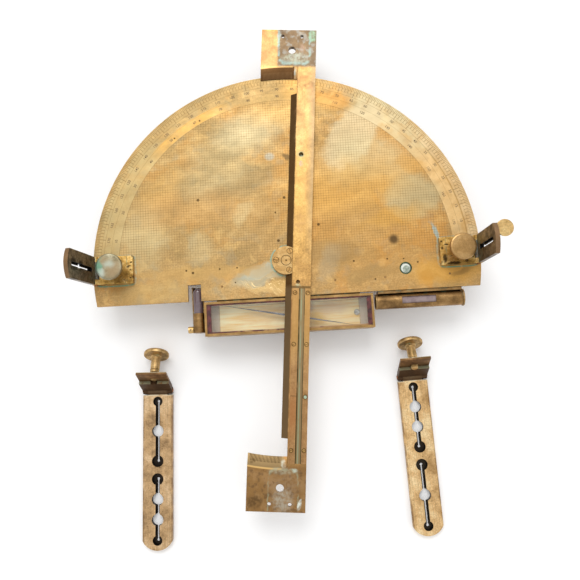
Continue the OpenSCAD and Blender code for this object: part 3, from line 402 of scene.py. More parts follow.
def engraved_limb():
    """Sheet brass, scraped flat and engraved: a 2 mm grid, a divided scale and old stains."""
    tree, place = aged_metal(
        "engraved_brass", "engraved_sheet_brass", "#a48a5d", "#b3905d", "#bb9b69", 0.5, brush=(0, 20, 0.5),
        clouds=14, pits="#7a5c34", pit_share=0.03, grime_and_shade="#7a6642", grime_and_shade_reach=1.5, mottle=0.2,
        drift=(12, 2.0), contrast=0.9)
    rough_place = ragged(tree, ragged(tree, place, 16, 7), 3.5, 2.2)
    x, y = plan(tree, place)
    r = distance(tree, x, y)
    angle = add(tree, "Math", {0: y, 1: x}, operation="ARCTAN2")
    degrees = add(tree, "Math", {0: angle}, operation="DEGREES")
    for size, low, high, tint, strength in LACQUER_CLOUDS:
        lay(tree, tint, patchy(tree, rough_place, size, low, high), strength)
    # The scale's bands are paler than the field, with bright and brown lengths
    rubbed = patchy(tree, rough_place, 7, 0.35, 0.62, 0.45)
    for low, high, inner, outer, tint, strength in RING_TINTS:
        arc = both(tree, within(tree, degrees, low, high, 6), rubbed)
        lay(tree, tint, both(tree, within(tree, r, inner, outer, 0.8), arc), strength)
    # Wide stains have ragged edges, and small ones are round
    for centre, reach, turn, soft, tint, strength in STAINS:
        where = place if max(reach) < SMALL_STAIN else rough_place
        lay(tree, tint, stain(tree, where, centre, reach, turn, soft), strength)
    limb_verdigris(tree, place, x, y)
    # Bright scratches across the pale stain below the pivot
    scratch = add(tree, "Mapping", {"Vector": rough_place, "Rotation": [0, 0, math.radians(-28)],
                                    "Scale": [9 * mm, 0.55 * mm, 1]}, vector_type="TEXTURE")
    bright = add(tree, "TexNoise", {"Vector": scratch, "Scale": 1, "Detail": 2}).outputs["Fac"]
    bright = add(tree, "MapRange", {0: bright, 1: 0.58, 2: 0.64})
    scratched = both(tree, bright, stain(tree, rough_place, (-15, -18), (20, 7), -5, 0.6))
    lay(tree, "#f4d9a0", scratched, 0.8)
    # Painted shade of the small holes, and the dark screw ends
    for spot, size in DOTS:
        lay(tree, "#4b3820", stain(tree, place, spot, (size, size), 0, 0.5), 0.85)
    limb_lines(tree, place, x, y, r, angle)


engraved_limb()


# The sight rule and its guide strips
# Tones along the bar, pale at the arc, gold in the middle, brown at the lower plate: from, to and
# softness in mm, colour, strength
BAR_TONES = ((80, 150, 60, "#d4b07c", 0.5), (20, 80, 50, "#dcb36a", 0.5), (-152, -22, 30, "#b98d5c", 0.75),
             (-300, -152, 6, "#8e6b42", 0.9))
# Verdigris round the prints of the sights: place and half sizes in mm, width, colour, strength
PRINTS = (((1.6, 178), (12.6, 19.0), 1.6, "#93a9a0", 0.9), ((2.4, -177), (11.0, 20.4), 0.9, "#a5a98c", 0.6))
# Stains of the bar and its plates, and one painted reflection: place in mm, reach in mm, turn in
# degrees, softness, colour, strength
PLATE_STAINS_AND_REFLECTION = (
    ((14, 141), (5, 3), 0, 0.9, "#97704c", 0.7),
    ((9, 148), (9, 4), 20, 1.0, "#b3845a", 0.7),
    ((8, 118), (4, 5), 0, 1.0, "#b58a5e", 0.5),
    ((15, 60), (3, 10), 0, 1.0, "#a98258", 0.45),
    ((10, 30), (5, 8), 0, 1.0, "#a9825a", 0.45),
    ((12, -4), (6, 8), 0, 1.0, "#b58d58", 0.5),
    ((3, 163), (10, 4.5), 0, 0.9, "#a3a694", 0.8),
    ((3, -168), (12, 9), 0, 1.0, "#a0876a", 0.5),
    ((16.3, 182), (3.2, 4.6), 0, 0.6, "#90ac90", 0.95),
    ((-10.6, 183), (1.6, 3), 0, 0.6, "#a9aca4", 0.8),
    ((8, 172), (2.5, 3), 0, 0.8, "#9a8070", 0.5),
    ((2.2, -157.6), (10, 2.2), 0, 0.9, "#b3ad92", 0.6),
    ((10.5, -157), (2.4, 1.2), 0, 0.7, "#cfdccb", 0.6),
    ((2.2, -178.5), (7, 8), 0, 1.0, "#b4ab98", 0.8),
    ((14.8, -181.5), (1.4, 4.2), -12, 0.5, "#e2e8dc", 0.95),
    ((-18, -180), (5.5, 4.5), 0, 0.8, "#5c452c", 0.75),
    ((2.2, -152.5), (1.8, 2.6), 0, 0.7, "#c9c4ae", 0.85),
    # A painted reflection: a pale strip on the upper plate beside the sloping edge
    ((2.9, 151.5), (0.9, 3.6), 0, 0.7, "#a9aca0", 0.85),
    ((-21, -151), (2.2, 2), 0, 0.6, "#4c361c", 0.6),
    ((8, 100), (3.5, 12), 0, 1.0, "#e2bb80", 0.5),
    ((15, 134), (3, 7), 0, 1.0, "#c89a70", 0.6),
    ((9.4, 84.1), (3.0, 3.0), 0, 0.5, "#8c9a7c", 0.6),
    ((9.4, 76.5), (1.6, 2.4), 0, 0.7, "#9a96a0", 0.6),
    ((9.6, -19.5), (2.2, 1.6), 0, 0.8, "#b9c9a8", 0.5),
    ((12, 60), (2, 18), 0, 1.0, "#e0b070", 0.4),
)


def rule_plan(tree, place):
    """X across and Y along the sight rule, in mm."""
    return plan(tree, place, RULE_TURN)


def vernier_bands(tree, x, y):
    """The two divided bands at the rule's ends: above painted dark as shade, below paler with dark ticks."""
    r = distance(tree, x, y)
    band = area(tree, r, x, (*BAND_R, 0.15), (-30, 2.2, 0.5))
    upper, lower = within(tree, y, 100, 300, 1), within(tree, y, -300, -100, 1)
    # The upper band is painted dark brown as shade
    lay(tree, "#5a3d24", both(tree, band, upper), 0.95)
    lay(tree, "#97805a", both(tree, band, lower), 0.85)
    angle = add(tree, "Math", {0: x, 1: y}, operation="ARCTAN2")
    ticks = area(tree, r, x, (*TICK_R, 0.1), (-23, 0.5, 0.2))
    ticks = both(tree, rays(tree, angle, r, TICK_STEP, 0.2), ticks)
    lay(tree, "#2c1d0b", both(tree, ticks, lower), 0.95)
    lay(tree, "#8a6a48", both(tree, ticks, upper), 0.5)
    rim = area(tree, r, x, (155.6, 156.8, 0.5), (-30, 1, 1))
    lay(tree, "#e6bd78", rim, 0.8)


def seat_plates(tree, place, x, y):
    """The plates at the rule's ends, with the prints of the sights and verdigris round them."""
    # Above: gold beside the print and mauve-brown under it
    print_top = area(tree, x, y, (-11.5, 20, 1.5), (PLATE_Y, 200, 2))
    lay(tree, "#72614f", print_top, 0.88)
    beside = area(tree, x, y, (-30, -12, 1), (PLATE_Y, 186, 1))
    lay(tree, "#cb9064", beside, 0.6)
    # The lower plate and the print are clouded brown, gold and grey
    lower = within(tree, y, -300, -PLATE_Y, 1)
    for size, low, high, part, tint, strength in ((7, 0.45, 0.6, lower, "#aa865a", 0.6),
                                                  (4, 0.52, 0.62, lower, "#6a5138", 0.6),
                                                  (4.5, 0.5, 0.62, print_top, "#96938a", 0.65)):
        lay(tree, tint, both(tree, patchy(tree, place, size, low, high), part), strength)
    loose = ragged(tree, metres(tree, x, y), 3, 1.2)
    loose_x, loose_y = plan(tree, loose)
    worn = patchy(tree, place, 5, 0.4, 0.56)
    for centre, half, width, tint, strength in PRINTS:
        edge = outline(tree, loose_x, loose_y, centre, half, width)
        lay(tree, tint, both(tree, edge, worn), strength)
    crumbled = patchy(tree, place, 2.2, 0.4, 0.6, 0.3)
    # Stains, and the one painted reflection, on the bar and its plates
    for centre, reach, turn, soft, tint, strength in PLATE_STAINS_AND_REFLECTION:
        spot = both(tree, stain(tree, loose, centre, reach, turn, soft), crumbled)
        lay(tree, tint, spot, strength)


def guide_groove(tree, place, x, y):
    """The groove between the guide strips: grey-green, with dark lines along both strips."""
    along = within(tree, y, *STRIPS_Y, 0.3)
    lay(tree, "#8d7a58", both(tree, along, within(tree, x, *GROOVE_X, 0.1)), 0.9)
    for low, high, tint, worn in ((10.4, 11.3, "#38371f", 0.9), (12.0, 13.0, "#98a384", 0.7),
                                  (14.5, 15.2, "#454430", 0.85)):
        line = both(tree, along, within(tree, x, low, high, 0.4))
        lay(tree, tint, both(tree, line, patchy(tree, place, 9, 0.25, 0.5)), worn)
    head = area(tree, y, x, (-21.6, -19.6, 0.8), (4.5, 19.5, 1))
    lay(tree, "#57462c", head, 0.75)


def bar_brass():
    """Planed brass bar, paler in its upper half and browner below."""
    tree, place = aged_metal(
        "rule_brass", "planed_bar_brass", "#ad8752", "#c2985a", "#cfa868", 0.46,
        brush=(90 - RULE_DEGREES, 60, 0.6), clouds=11, pit_share=0.08, grime_and_shade="#5b4a2c", grime_and_shade_reach=1.6,
        contrast=1.3, mottle=0.26)
    x, y = rule_plan(tree, place)
    for low, high, soft, tint, strength in BAR_TONES:
        lay(tree, tint, within(tree, y, low, high, soft), strength)
    greyed = area(tree, y, x, (20, 200, 60), (15.5, 22, 5))
    lay(tree, "#a9906e", greyed, 0.7)
    # Worn dark arrises
    worn_edge = patchy(tree, place, 6, 0.35, 0.5)
    for low, high in ((4.7, 5.3), (19.4, 20.2)):
        arris = both(tree, within(tree, x, low, high, 0.3), worn_edge)
        lay(tree, "#7d5c36", arris, 0.7)
    # The sloping fiducial edge is painted dark as shade, and paler below the pivot
    shaded_slope = area(tree, x, y, (-0.1, 4.75, 0.1), (-134, 134, 0.1))
    lay(tree, "#4d351d", shaded_slope, 0.9)
    lay(tree, "#7f694b", both(tree, shaded_slope, within(tree, y, -140, -20, 4)), 0.6)
    vernier_bands(tree, x, y)
    seat_plates(tree, place, x, y)
    guide_groove(tree, place, x, y)


def strip_brass():
    """Drawn brass strip, golden near the pivot and redder towards the lower plate, green in the groove."""
    tree, place = aged_metal(
        "strip_brass", "drawn_strip_brass", "#987349", "#ab8357", "#bc9462", 0.42,
        brush=(90 - RULE_DEGREES, 40, 0.5), clouds=12, grime_and_shade="#5e6f50", grime_and_shade_reach=1.4, offset=70)
    x, y = rule_plan(tree, place)
    lay(tree, "#bd9456", within(tree, y, -70, -20, 20), 0.6)
    red = area(tree, y, x, (-130, -102, 16), (0, 12, 1))
    lay(tree, "#ad7446", red, 0.6)
    # Painted shade in rings round the screws
    own = metres(tree, x, y)
    for row in range(4):
        down = GUIDE_SCREW_START + row * GUIDE_SCREW_PITCH
        for across in GUIDE_SCREW_X:
            # The left strip has no screw in the third row
            if (row, across) != (2, GUIDE_SCREW_X[0]):
                ring = stain(tree, own, (across, -down), (1.75, 1.75), 0, 0.4)
                lay(tree, "#3f3018", ring, 0.8)


bar_brass()
strip_brass()


# The small brass pieces
def shank_place(centre, turns=()):
    """Matrix of a lathe's axis: a place in mm after turns of (degrees, axis)."""
    place = Matrix.Translation(Vector(centre) * mm)
    for degrees, axis in turns:
        place = place @ Matrix.Rotation(math.radians(degrees), 4, axis)
    return place


def loose_foot(x, turn):
    """Matrix of a loose sight's foot, with its X across and its Z out of the seat's side."""
    return shank_place((x, *LOOSE_HINGE), ((turn + 180, "Z"), (LOOSE_LEAN - 90, "X"), (180, "Z")))


# How far each loose thumb screw is screwed in, as the place of its shoulder in mm
LOOSE_SHOULDER = {"left": -7.25, "right": -4.55}
SCREWS = {side + "_end_thumb_screw": shank_place((sign * THUMB_X, 0, THUMB_Z))
          for side, sign in (("left", -1), ("right", 1))}
SCREWS |= {side + "_sight_thumb_screw": loose_foot(*LOOSE_SIGHTS[side])
           @ shank_place((0, LOOSE_SCREW_Y, LOOSE_SHOULDER[side]), ((180, "X"),))
           for side in LOOSE_SIGHTS}


# Stains on the left end thumb screw's head: place and reach in mm, colour, strength
HEAD_STAINS = (((-128, -2), (6, 7), "#9c8360", 0.75), ((-135, 4), (4, 3), "#a08a66", 0.7),
               ((-139, 0), (2.6, 6), "#6fa389", 0.8), ((-137, -5), (3, 3), "#c9d2c4", 0.7),
               ((-131, 2), (4, 3), "#b9c4b6", 0.6))


def silvery_head():
    """Turned brass gone silvery, with verdigris at its left and brown at its right."""
    tree, place = aged_metal(
        "left_end_thumb_screw", "turned_brass_silvery", "#7e775d", "#9a9378", "#b4ad92", 0.45,
        brush=(0, 0, 0.5), clouds=7, offset=160, contrast=1.1, lathe=SCREWS["left_end_thumb_screw"])
    spots = ragged(tree, place, 5, 3)
    for centre, reach, tint, worn in HEAD_STAINS:
        lay(tree, tint, stain(tree, spots, centre, reach, 0, 1.2), worn)


silvery_head()
# Turned brass rubbed clean by use, golden brown with fine rings from the lathe
aged_metal("right_end_thumb_screw", "turned_brass_golden", "#967648", "#ab8756", "#bb9866", 0.42,
           brush=(0, 0, 0.5), clouds=9, offset=170, lathe=SCREWS["right_end_thumb_screw"])
# The same on the loose sights, paler, with green in the corners
for side in LOOSE_SIGHTS:
    aged_metal(side + "_sight_thumb_screw", side + "_turned_brass", "#957a4c", "#b89664", "#d4b47e", 0.45,
               brush=(0, 0, 0.6), clouds=6, offset=180, green=0.6, contrast=1.4,
               lathe=SCREWS[side + "_sight_thumb_screw"])


def long_vane_brass(side, x, turn, tones):
    """Rolled sheet, golden and speckled along its length, with near-black channels and wells, the hinge's
    knuckles painted dark as shade and a painted highlight along the face's edge at the hinge.
    """
    tree, place = aged_metal(
        side + "_long_vane", side + "_rolled_sheet_brass", *tones, 0.46, brush=(90 + turn, 70, 1.0),
        clouds=13, contrast=1.1, pits="#5c4128", pit_share=0.1, offset=40 + x, mottle=0.16)
    own = own_axes(tree, place, shank_place((x, LOOSE_HINGE[0], 0), ((turn, "Z"),)))
    # The hinge's knuckles are painted dark as shade, and the sheet's long edges are worn brown
    lay(tree, "#4a382a", within(tree, own["Y"], -3.4, 9, 0.3), 0.9)
    for low, high in ((-12.5, -10.9), (10.9, 12.5)):
        edge = both(tree, within(tree, own["X"], low, high, 0.6), patchy(tree, place, 8, 0.35, 0.55))
        lay(tree, "#7a5c3e", edge, 0.7)
    # A painted highlight: a pale line along the face's edge at the hinge
    edge = both(tree, within(tree, own["Y"], -4.1, -3.4, 0.3), patchy(tree, place, 6, 0.35, 0.5))
    lay(tree, "#dcd2b8", edge, 0.8)
    # Channels and wells below the face are near-black
    sunk = area(tree, own["Z"], own["X"], (0.1, 4.3, 0.1), (-5.3, 5.3, 0.3))
    sunk = both(tree, sunk, within(tree, own["Y"], -121, -4, 0.3))
    lay(tree, "#17191b", sunk, 0.96)


def loose_foot_brass(side, x, turn):
    """Dark brown plate, its face painted darker as shade, with a pale green line along its step that
    is partly a painted highlight, and a painted highlight on its end edge.
    """
    tree, place = aged_metal(
        side + "_sight_foot", side + "_tarnished_plate_brass", "#654b31", "#765738", "#8d6a45", 0.5,
        brush=(0, 20, 0.7), clouds=7, contrast=1.2, offset=500 + x)
    own = own_axes(tree, place, loose_foot(x, turn))
    # The face is painted darker as shade
    face = within(tree, own["Y"], -9, 16.2, 0.2)
    lay(tree, "#4a382a", face, 0.85)
    # The pale green line along the step is partly verdigris and partly a painted highlight
    step = area(tree, own["Y"], own["Z"], (16.2, 16.65, 0.15), (-1.0, 1.6, 0.2))
    lay(tree, "#8d947a", both(tree, step, patchy(tree, place, 3, 0.3, 0.45)), 0.65)
    # A painted highlight on the end edge
    edge = area(tree, own["Y"], own["Z"], (28.3, 30, 0.2), (-4, -2.8, 0.2))
    lay(tree, "#c9c0a0", edge, 0.8)


VANE_TONES = {"left": ("#957957", "#c2a075", "#debf96"), "right": ("#b08c5c", "#dab580", "#f0d5a4")}
for side, (x, turn) in LOOSE_SIGHTS.items():
    long_vane_brass(side, x, turn, VANE_TONES[side])
    loose_foot_brass(side, x, turn)


def end_vane_brass(side, sign, lean):
    """Dark sheet with soot round the slit, pale dust near the hinge and a rubbed golden rim."""
    tree, place = aged_metal(
        side + "_end_vane", side + "_dark_sheet_brass", "#5d564f", "#7b7268", "#9c9284", 0.45,
        brush=(0, 12, 0.7), clouds=6, contrast=1.3, pits="#1d1b1a", pit_share=0.12, grime_and_shade="#4c443a",
        offset=120 * sign)
    matrix = shank_place((sign * END_HINGE[0], 0, END_HINGE[1]),
                         ((sign * 90, "Z"), (90 + lean, "X"), (180, "Y")))
    own = own_axes(tree, place, matrix)
    spots = ragged(tree, place, 3, 1.5)
    for low, high, reach, tint, worn in ((8, 42, 4.4, "#1f1c1a", 0.75), (1, 15, 9.5, "#8b978b", 0.6)):
        zone = area(tree, own["Y"], own["X"], (low, high, 3), (-reach, reach, 2))
        lay(tree, tint, both(tree, zone, patchy(tree, spots, 4, 0.47, 0.58)), worn)
    sunk = area(tree, own["Z"], own["X"], (-3, 0.8, 0.1), (-2.4, 2.4, 0.3))
    sunk = both(tree, sunk, within(tree, own["Y"], 3, 44, 0.3))
    lay(tree, "#141518", sunk, 0.95)
    # The rounded end lies on a circle of 17.85 mm round a point 29.15 mm above the hinge
    off = add(tree, "Math", {0: own["Y"], 1: 29.15}, operation="SUBTRACT")
    r = distance(tree, own["X"], off)
    rim = area(tree, r, own["Y"], (17.75, 22, 0.2), (36, 50, 0.5))
    lay(tree, "#8c6c4a", rim, 0.85)


end_vane_brass("left", -1, END_LEAN["left"])
end_vane_brass("right", 1, END_LEAN["right"])


# Stains on the two feet of the base line: place and reach in mm
FOOT_STAINS = (((121.5, -5.5), (1.6, 3.2)), ((123.3, 5.0), (1.3, 0.8)), ((128, -9.8), (5, 1.2)),
               ((-119.6, 5.5), (0.7, 0.7)), ((-119.9, -0.5), (0.7, 0.7)), ((-120.2, -6.5), (0.7, 0.7)),
               ((119.6, 7.5), (0.8, 0.8)), ((119.6, 2.5), (0.8, 1.2)))


def foot_brass():
    """Golden filed plate with black-brown stains and pale verdigris in its corners."""
    tree, place = aged_metal(
        "foot_brass", "filed_plate_brass", "#9a763c", "#cca258", "#efcf8c", 0.38, brush=(90, 14, 0.5),
        clouds=6, pit_share=0.1, contrast=1.4, offset=80, green=0.7)
    spots = ragged(tree, place, 4, 1.5)
    lay(tree, "#2e2417", patchy(tree, spots, 5, 0.6, 0.66), 0.85)
    for centre, reach in FOOT_STAINS:
        lay(tree, "#2e2417", stain(tree, spots, centre, reach, 0, 0.7), 0.85)


foot_brass()
# Bar brass turned in a lathe and lacquered, still bright
aged_metal("turned_brass", "turned_bar_brass", "#b08f58", "#cfab70", "#e6c88c", 0.36, brush=(0, 8, 0.5),
           clouds=8, offset=160)


# The flange's screws: distance from the pivot in mm, and their turns from the rule's X in degrees
FLANGE_SCREW_R = 7.7
FLANGE_SCREW_TURNS = (180, 70.8, -70.8)


def flange_brass():
    """Turned brass plate, tan and dull, with painted shade in rings round its screws and the pin."""
    tree, place = aged_metal(
        "pale_brass", "turned_pale_brass", "#9a7848", "#b08c58", "#c1a06c", 0.42, brush=(0, 8, 0.4),
        clouds=6, offset=200, green=0.3)
    # Painted shade in rings round the screws
    for turn in FLANGE_SCREW_TURNS:
        a = math.radians(turn) - RULE_TURN
        centre = (FLANGE_SCREW_R * math.cos(a), FLANGE_SCREW_R * math.sin(a))
        lay(tree, "#3d2c16", stain(tree, place, centre, (2.35, 2.35), 0, 0.3), 0.85)
    # Painted shade in a ring round the pin
    ring = stain(tree, place, (0, 0), (4.15, 4.15), 0, 0.1)
    inner = stain(tree, place, (0, 0), (3.55, 3.55), 0, 0.1)
    ring = add(tree, "Math", {0: ring, 1: inner}, operation="SUBTRACT")
    lay(tree, "#4a3820", ring, 0.7)
    lay(tree, "#3a2612", stain(tree, place, (0, 0), (0.5, 0.5), 0, 0.5), 0.9)


flange_brass()
# The round glass's ring, dark green all over
aged_metal("eye_brass", "verdigris_ring_brass", "#2f3a2e", "#46543f", "#5f6e52", 0.5, clouds=3, offset=220)
# Sand-cast brass, filed on its outside, brown and matt
aged_metal("cast_brass", "cast_brass", "#7d6644", "#a08255", "#b9986c", 0.48, brush=(0, 6, 0.8), clouds=7,
           offset=240)
# Sheet brass soldered at its corners, brushed along its length
aged_metal("box_brass", "soldered_sheet_brass", "#866a43", "#9e7d4e", "#b6925f", 0.45, brush=(0, 50, 0.6),
           clouds=12, offset=280)
# Drawn tube and small fittings, tarnished brown with green in the corners
aged_metal("dark_brass", "tarnished_tube_brass", "#6d5335", "#8f6f46", "#b08c5c", 0.42, brush=(0, 30, 0.6),
           clouds=9, offset=320, green=0.4)


def screw_brass():
    """Small filed screws, with dirt and painted shade in their slots and round their heads, two of them
    green.
    """
    tree, place = aged_metal(
        "screw_brass", "filed_screw_brass", "#8d6b3e", "#b48c55", "#d3ac6c", 0.42, clouds=3, pits="#3a2c18",
        pit_share=0.1, grime_and_shade="#2b2012", grime_and_shade_reach=1.2, offset=340)
    x, y = rule_plan(tree, place)
    row = within(tree, y, -105.2, -101.2, 0.3)
    for across in GUIDE_SCREW_X:
        near = both(tree, within(tree, x, across - 2, across + 2, 0.3), row)
        lay(tree, "#b3cdb4", near, 0.8)


screw_brass()
# The lifter's screw of bright steel, gone grey
aged_metal("grey_steel", "bright_steel", "#77746c", "#96938a", "#b3afa4", 0.4, clouds=3, pits="#4a4540",
           grime_and_shade="#35302a", grime_and_shade_reach=1.5, offset=420)
# Drawn copper wire for the hinge pins, dull red
aged_metal("copper", "copper_wire", "#8a5a3e", "#a96f4c", "#bd8258", 0.42, clouds=5, offset=360)
# Hardened steel of the needle, its blue worn to grey
aged_metal("blued_steel", "blued_spring_steel", "#48484b", "#636366", "#838382", 0.4, clouds=8,
           pits="#3a3532", grime_and_shade="#33302c", offset=400)


# Glass, paper and wax
def blend(tree, share, other):
    """Mixes a share of another shader into a material's own."""
    mixed = add(tree, "MixShader", {0: share, 1: tree.nodes["Principled BSDF"], 2: other})
    tree.links.new(mixed.outputs[0], tree.nodes["Material Output"].inputs["Surface"])


def glass(name, label, colour, **inputs):
    """Clear glass that lets the light through to what lies behind it."""
    tree = plain(name, label, colour, **inputs)
    ray = add(tree, "LightPath").outputs
    light = add(tree, "Math", {0: ray["Is Shadow Ray"], 1: ray["Is Diffuse Ray"]}, operation="MAXIMUM")
    blend(tree, light, add(tree, "BsdfTransparent", {0: colour}))


glass("window_glass", "drawn_window_glass", "#ffffff", Roughness=0.02, IOR=1.5, Transmission_Weight=1.0)


def lens_glass():
    """Clouded green lens with a painted highlight, a pale crescent near its far edge."""
    tree = plain("lens_glass", "clouded_lens_glass", "#7f8b7c", Roughness=0.08, Coat_Weight=1.0)
    place = add(tree, "TexCoord").outputs["Object"]
    pale = stain(tree, place, (91.6, -10.8), (3.6, 3.6), 0, 0.3)
    dark = stain(tree, place, (92.2, -11.6), (2.9, 2.9), 0, 0.4)
    # The pale crescent is a painted highlight
    crescent = add(tree, "Math", {0: pale, 1: dark}, operation="SUBTRACT", use_clamp=True)
    cloudy = patchy(tree, place, 1.6, 0.4, 0.6)
    lay(tree, "#a9b3a2", cloudy)
    lay(tree, "#eef2e8", crescent, 0.8)


lens_glass()


def spirit_vial():
    """Blown glass vial full of old violet spirit: painted shade darkens its sides, and it is greyer in the
    cross level.
    """
    tree = plain("spirit_glass", "blown_vial_glass", "#6d5a74", Roughness=0.06, IOR=1.48, Coat_Weight=1.0,
                 Coat_Roughness=0.02)
    place = add(tree, "TexCoord").outputs["Object"]
    # Painted shade: the colour darkens where the surface turns away from the view
    facing = add(tree, "LayerWeight", {"Blend": 0.5}).outputs["Facing"]
    deep = patchy(tree, place, 4, 0.4, 0.62)
    ramp = add(tree, "ValToRGB", {0: facing})
    ramp.color_ramp.elements[0].color = linear("#94807e")
    ramp.color_ramp.elements[1].color = linear("#3a161c")
    ramp.color_ramp.elements[1].position = 0.7
    paint(tree, ramp.outputs[0])
    lay(tree, "#4a2a32", deep, 0.35)
    x, _y = plan(tree, place)
    lay(tree, "#4c3a46", within(tree, x, -90, -60, 2), 0.6)


spirit_vial()


# Stains of the card: place and reach in mm, colour, strength
CARD_STAINS = (((38, -42), (26, 10), "#dfb264", 0.4), ((18, -46), (10, 6), "#d8ac4c", 0.7),
               ((12, -35), (8, 4), "#a98a74", 0.6), ((34, -37), (12, 5), "#c8a890", 0.4))
# The card's ruled frame, in mm
CARD_FRAME_X = 55.2
CARD_FRAME_Y = (-31.4, -51.4)


def card_paper():
    """Old laid paper, yellowed, with long golden fibres, greyer margins and a ruled frame."""
    tree = plain("paper_card", "yellowed_card_paper", "#e9d3a0", Roughness=0.85)
    place = add(tree, "TexCoord").outputs["Object"]
    # Fibres 30 mm long and 2 mm wide, drawn coarse so that they show
    along = add(tree, "Mapping", {"Vector": place, "Scale": [1 / (30 * mm), 1 / (2 * mm), 1]})
    fibre = add(tree, "TexNoise", {"Vector": along, "Scale": 1, "Detail": 5}).outputs["Fac"]
    x, y = plan(tree, place)
    base = add(tree, "ValToRGB", {0: add(tree, "MapRange", {0: fibre, 1: 0.42, 2: 0.72})})
    base.color_ramp.elements[0].color = linear("#fff3c4")
    base.color_ramp.elements[1].color = linear("#f3c66e")
    streaked = stain(tree, ragged(tree, place, 6, 3), (-14, -40), (26, 6), 4, 1.0)
    paint(tree, base.outputs[0])
    lay(tree, "#e0a850", streaked, 0.5)
    loose = ragged(tree, place, 8, 3)
    for centre, reach, tint, strength in CARD_STAINS:
        lay(tree, tint, stain(tree, loose, centre, reach, 0, 1.0), strength)
    for side in (-1, 1):
        line = side * CARD_FRAME_X
        margin = within(tree, x, *sorted((side * 64, line + side * 0.2)), 0.5)
        lay(tree, "#b9ada0", margin, 0.8)
        lay(tree, "#8b6a48", within(tree, x, line - 0.25, line + 0.25, 0.15), 0.6)
    for line in CARD_FRAME_Y:
        lay(tree, "#9a7a52", within(tree, y, line - 0.25, line + 0.25, 0.2), 0.5)


card_paper()


def sealing_wax():
    """Old dull red wax, crumbled to bare metal along parts of the lower side."""
    tree = plain("sealing_wax", "old_sealing_wax", "#5d2a28", Roughness=0.55)
    place = add(tree, "TexCoord").outputs["Object"]
    x, y = plan(tree, place)
    grain = add(tree, "TexNoise", {"Vector": place, "Scale": 1 / (2.5 * mm), "Detail": 5}).outputs["Fac"]
    ramp = add(tree, "ValToRGB", {0: grain})
    ramp.color_ramp.elements[0].color = linear("#351416")
    ramp.color_ramp.elements[0].position = 0.35
    ramp.color_ramp.elements[1].color = linear("#6e302d")
    ramp.color_ramp.elements[1].position = 0.65
    low_side = area(tree, y, x, (-60, -50.6, 0.2), (-40, 60, 3))
    bare = both(tree, low_side, patchy(tree, place, 7, 0.4, 0.45))
    paint(tree, ramp.outputs[0])
    lay(tree, "#b08a5a", bare, 0.9)


sealing_wax()


# Pieces
def show(bm, name, material, body, *replaced, smooth=35, slot_name=None):
    """Makes a bmesh a shown piece that rides on a body and stands for CAD nodes."""
    mesh = bpy.data.meshes.new(name)
    bm.to_mesh(mesh)
    bm.free()
    mesh.shade_smooth()
    mesh.set_sharp_from_angle(angle=math.radians(smooth))
    mesh.materials.clear()
    mesh.materials.append(materials[material])
    piece = bpy.data.objects.new(name, mesh)
    bpy.context.scene.collection.objects.link(piece)
    # Large flat faces keep their own normals beside the narrow rounded edges
    even = piece.modifiers.new("even", "WEIGHTED_NORMAL")
    even.keep_sharp = True
    even.weight = 100
    if replaced:
        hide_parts(*replaced)
    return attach(piece, body)


def node_body(node):
    """Name of the body that a CAD node rides on."""
    return body_names[nodes[node].parent]


def eased(node, edge, material):
    """A merged copy of a CAD node with its sharp edges rounded by edge in mm, in its place."""
    bm = bmesh.new()
    bm.from_mesh(nodes[node].data)
    bmesh.ops.remove_doubles(bm, verts=bm.verts, dist=0.002 * mm)
    bmesh.ops.dissolve_limit(bm, angle_limit=math.radians(1), verts=bm.verts, edges=bm.edges)
    if edge:
        sharp = [e for e in bm.edges if e.is_manifold and e.calc_face_angle() > math.radians(32)]
        bmesh.ops.bevel(bm, geom=sharp, offset=edge * mm, offset_type="OFFSET", segments=2, profile=0.5,
                        affect="EDGES", clamp_overlap=True, material=-1)
    return show(bm, node + "_eased", material or slots[node], node_body(node), node, slot_name=slots[node])


def turned(name, profile, place, material, body, *replaced, steps=64, slot_name=None):
    """A lathe-turned piece from its profile of (radius, height) in mm, spun round its own Z."""
    bm = bmesh.new()
    points = [bm.verts.new((r * mm, 0, z * mm)) for r, z in profile]
    edges = [bm.edges.new(pair) for pair in zip(points, points[1:])]
    bmesh.ops.spin(bm, geom=points + edges, cent=(0, 0, 0), axis=(0, 0, 1), angle=math.tau, steps=steps,
                   use_merge=True)
    bmesh.ops.remove_doubles(bm, verts=bm.verts, dist=0.0005 * mm)
    bmesh.ops.recalc_face_normals(bm, faces=bm.faces)
    bmesh.ops.transform(bm, matrix=place, verts=bm.verts)
    return show(bm, name, material, body, *replaced, smooth=28, slot_name=slot_name)


def thumb_screw(node, thread_len):
    """A thumb screw: threaded shank, banded neck and a thick round head with rolled edges."""
    profile = [(0, -thread_len), (2.2, -thread_len), (2.6, -thread_len + 0.3)]
    z = -thread_len + 0.7
    # Turns of the thread, 0.8 mm apart
    while z < -0.9:
        profile += [(2.45, z), (2.84, z + 0.3), (2.84, z + 0.42)]
        z += 0.8
    profile += [(2.6, -0.5), (2.84, -0.1), (3.3, 0), (3.6, 0.3), (3.6, 1.6), (3.25, 1.9), (3.25, 2.5),
                (3.6, 2.8), (3.6, 10.4), (3.3, 10.7), (3.3, 11.3), (3.6, 11.6), (3.6, 13.1), (4.2, 13.5),
                (4.6, 13.9), (4.6, 14.3), (5.2, 14.5), (9.0, 14.5), (9.6, 14.75), (9.93, 15.3), (10, 16.2),
                (9.9, 17.1), (9.55, 17.65), (9.0, 17.92), (8.2, 18.0), (0, 18.0)]
    turned(node + "_turned", profile, SCREWS[node], node, node_body(node), node, slot_name=slots[node])


# Font size of a figure as a share of its height
FONT_SHARE = 1.4


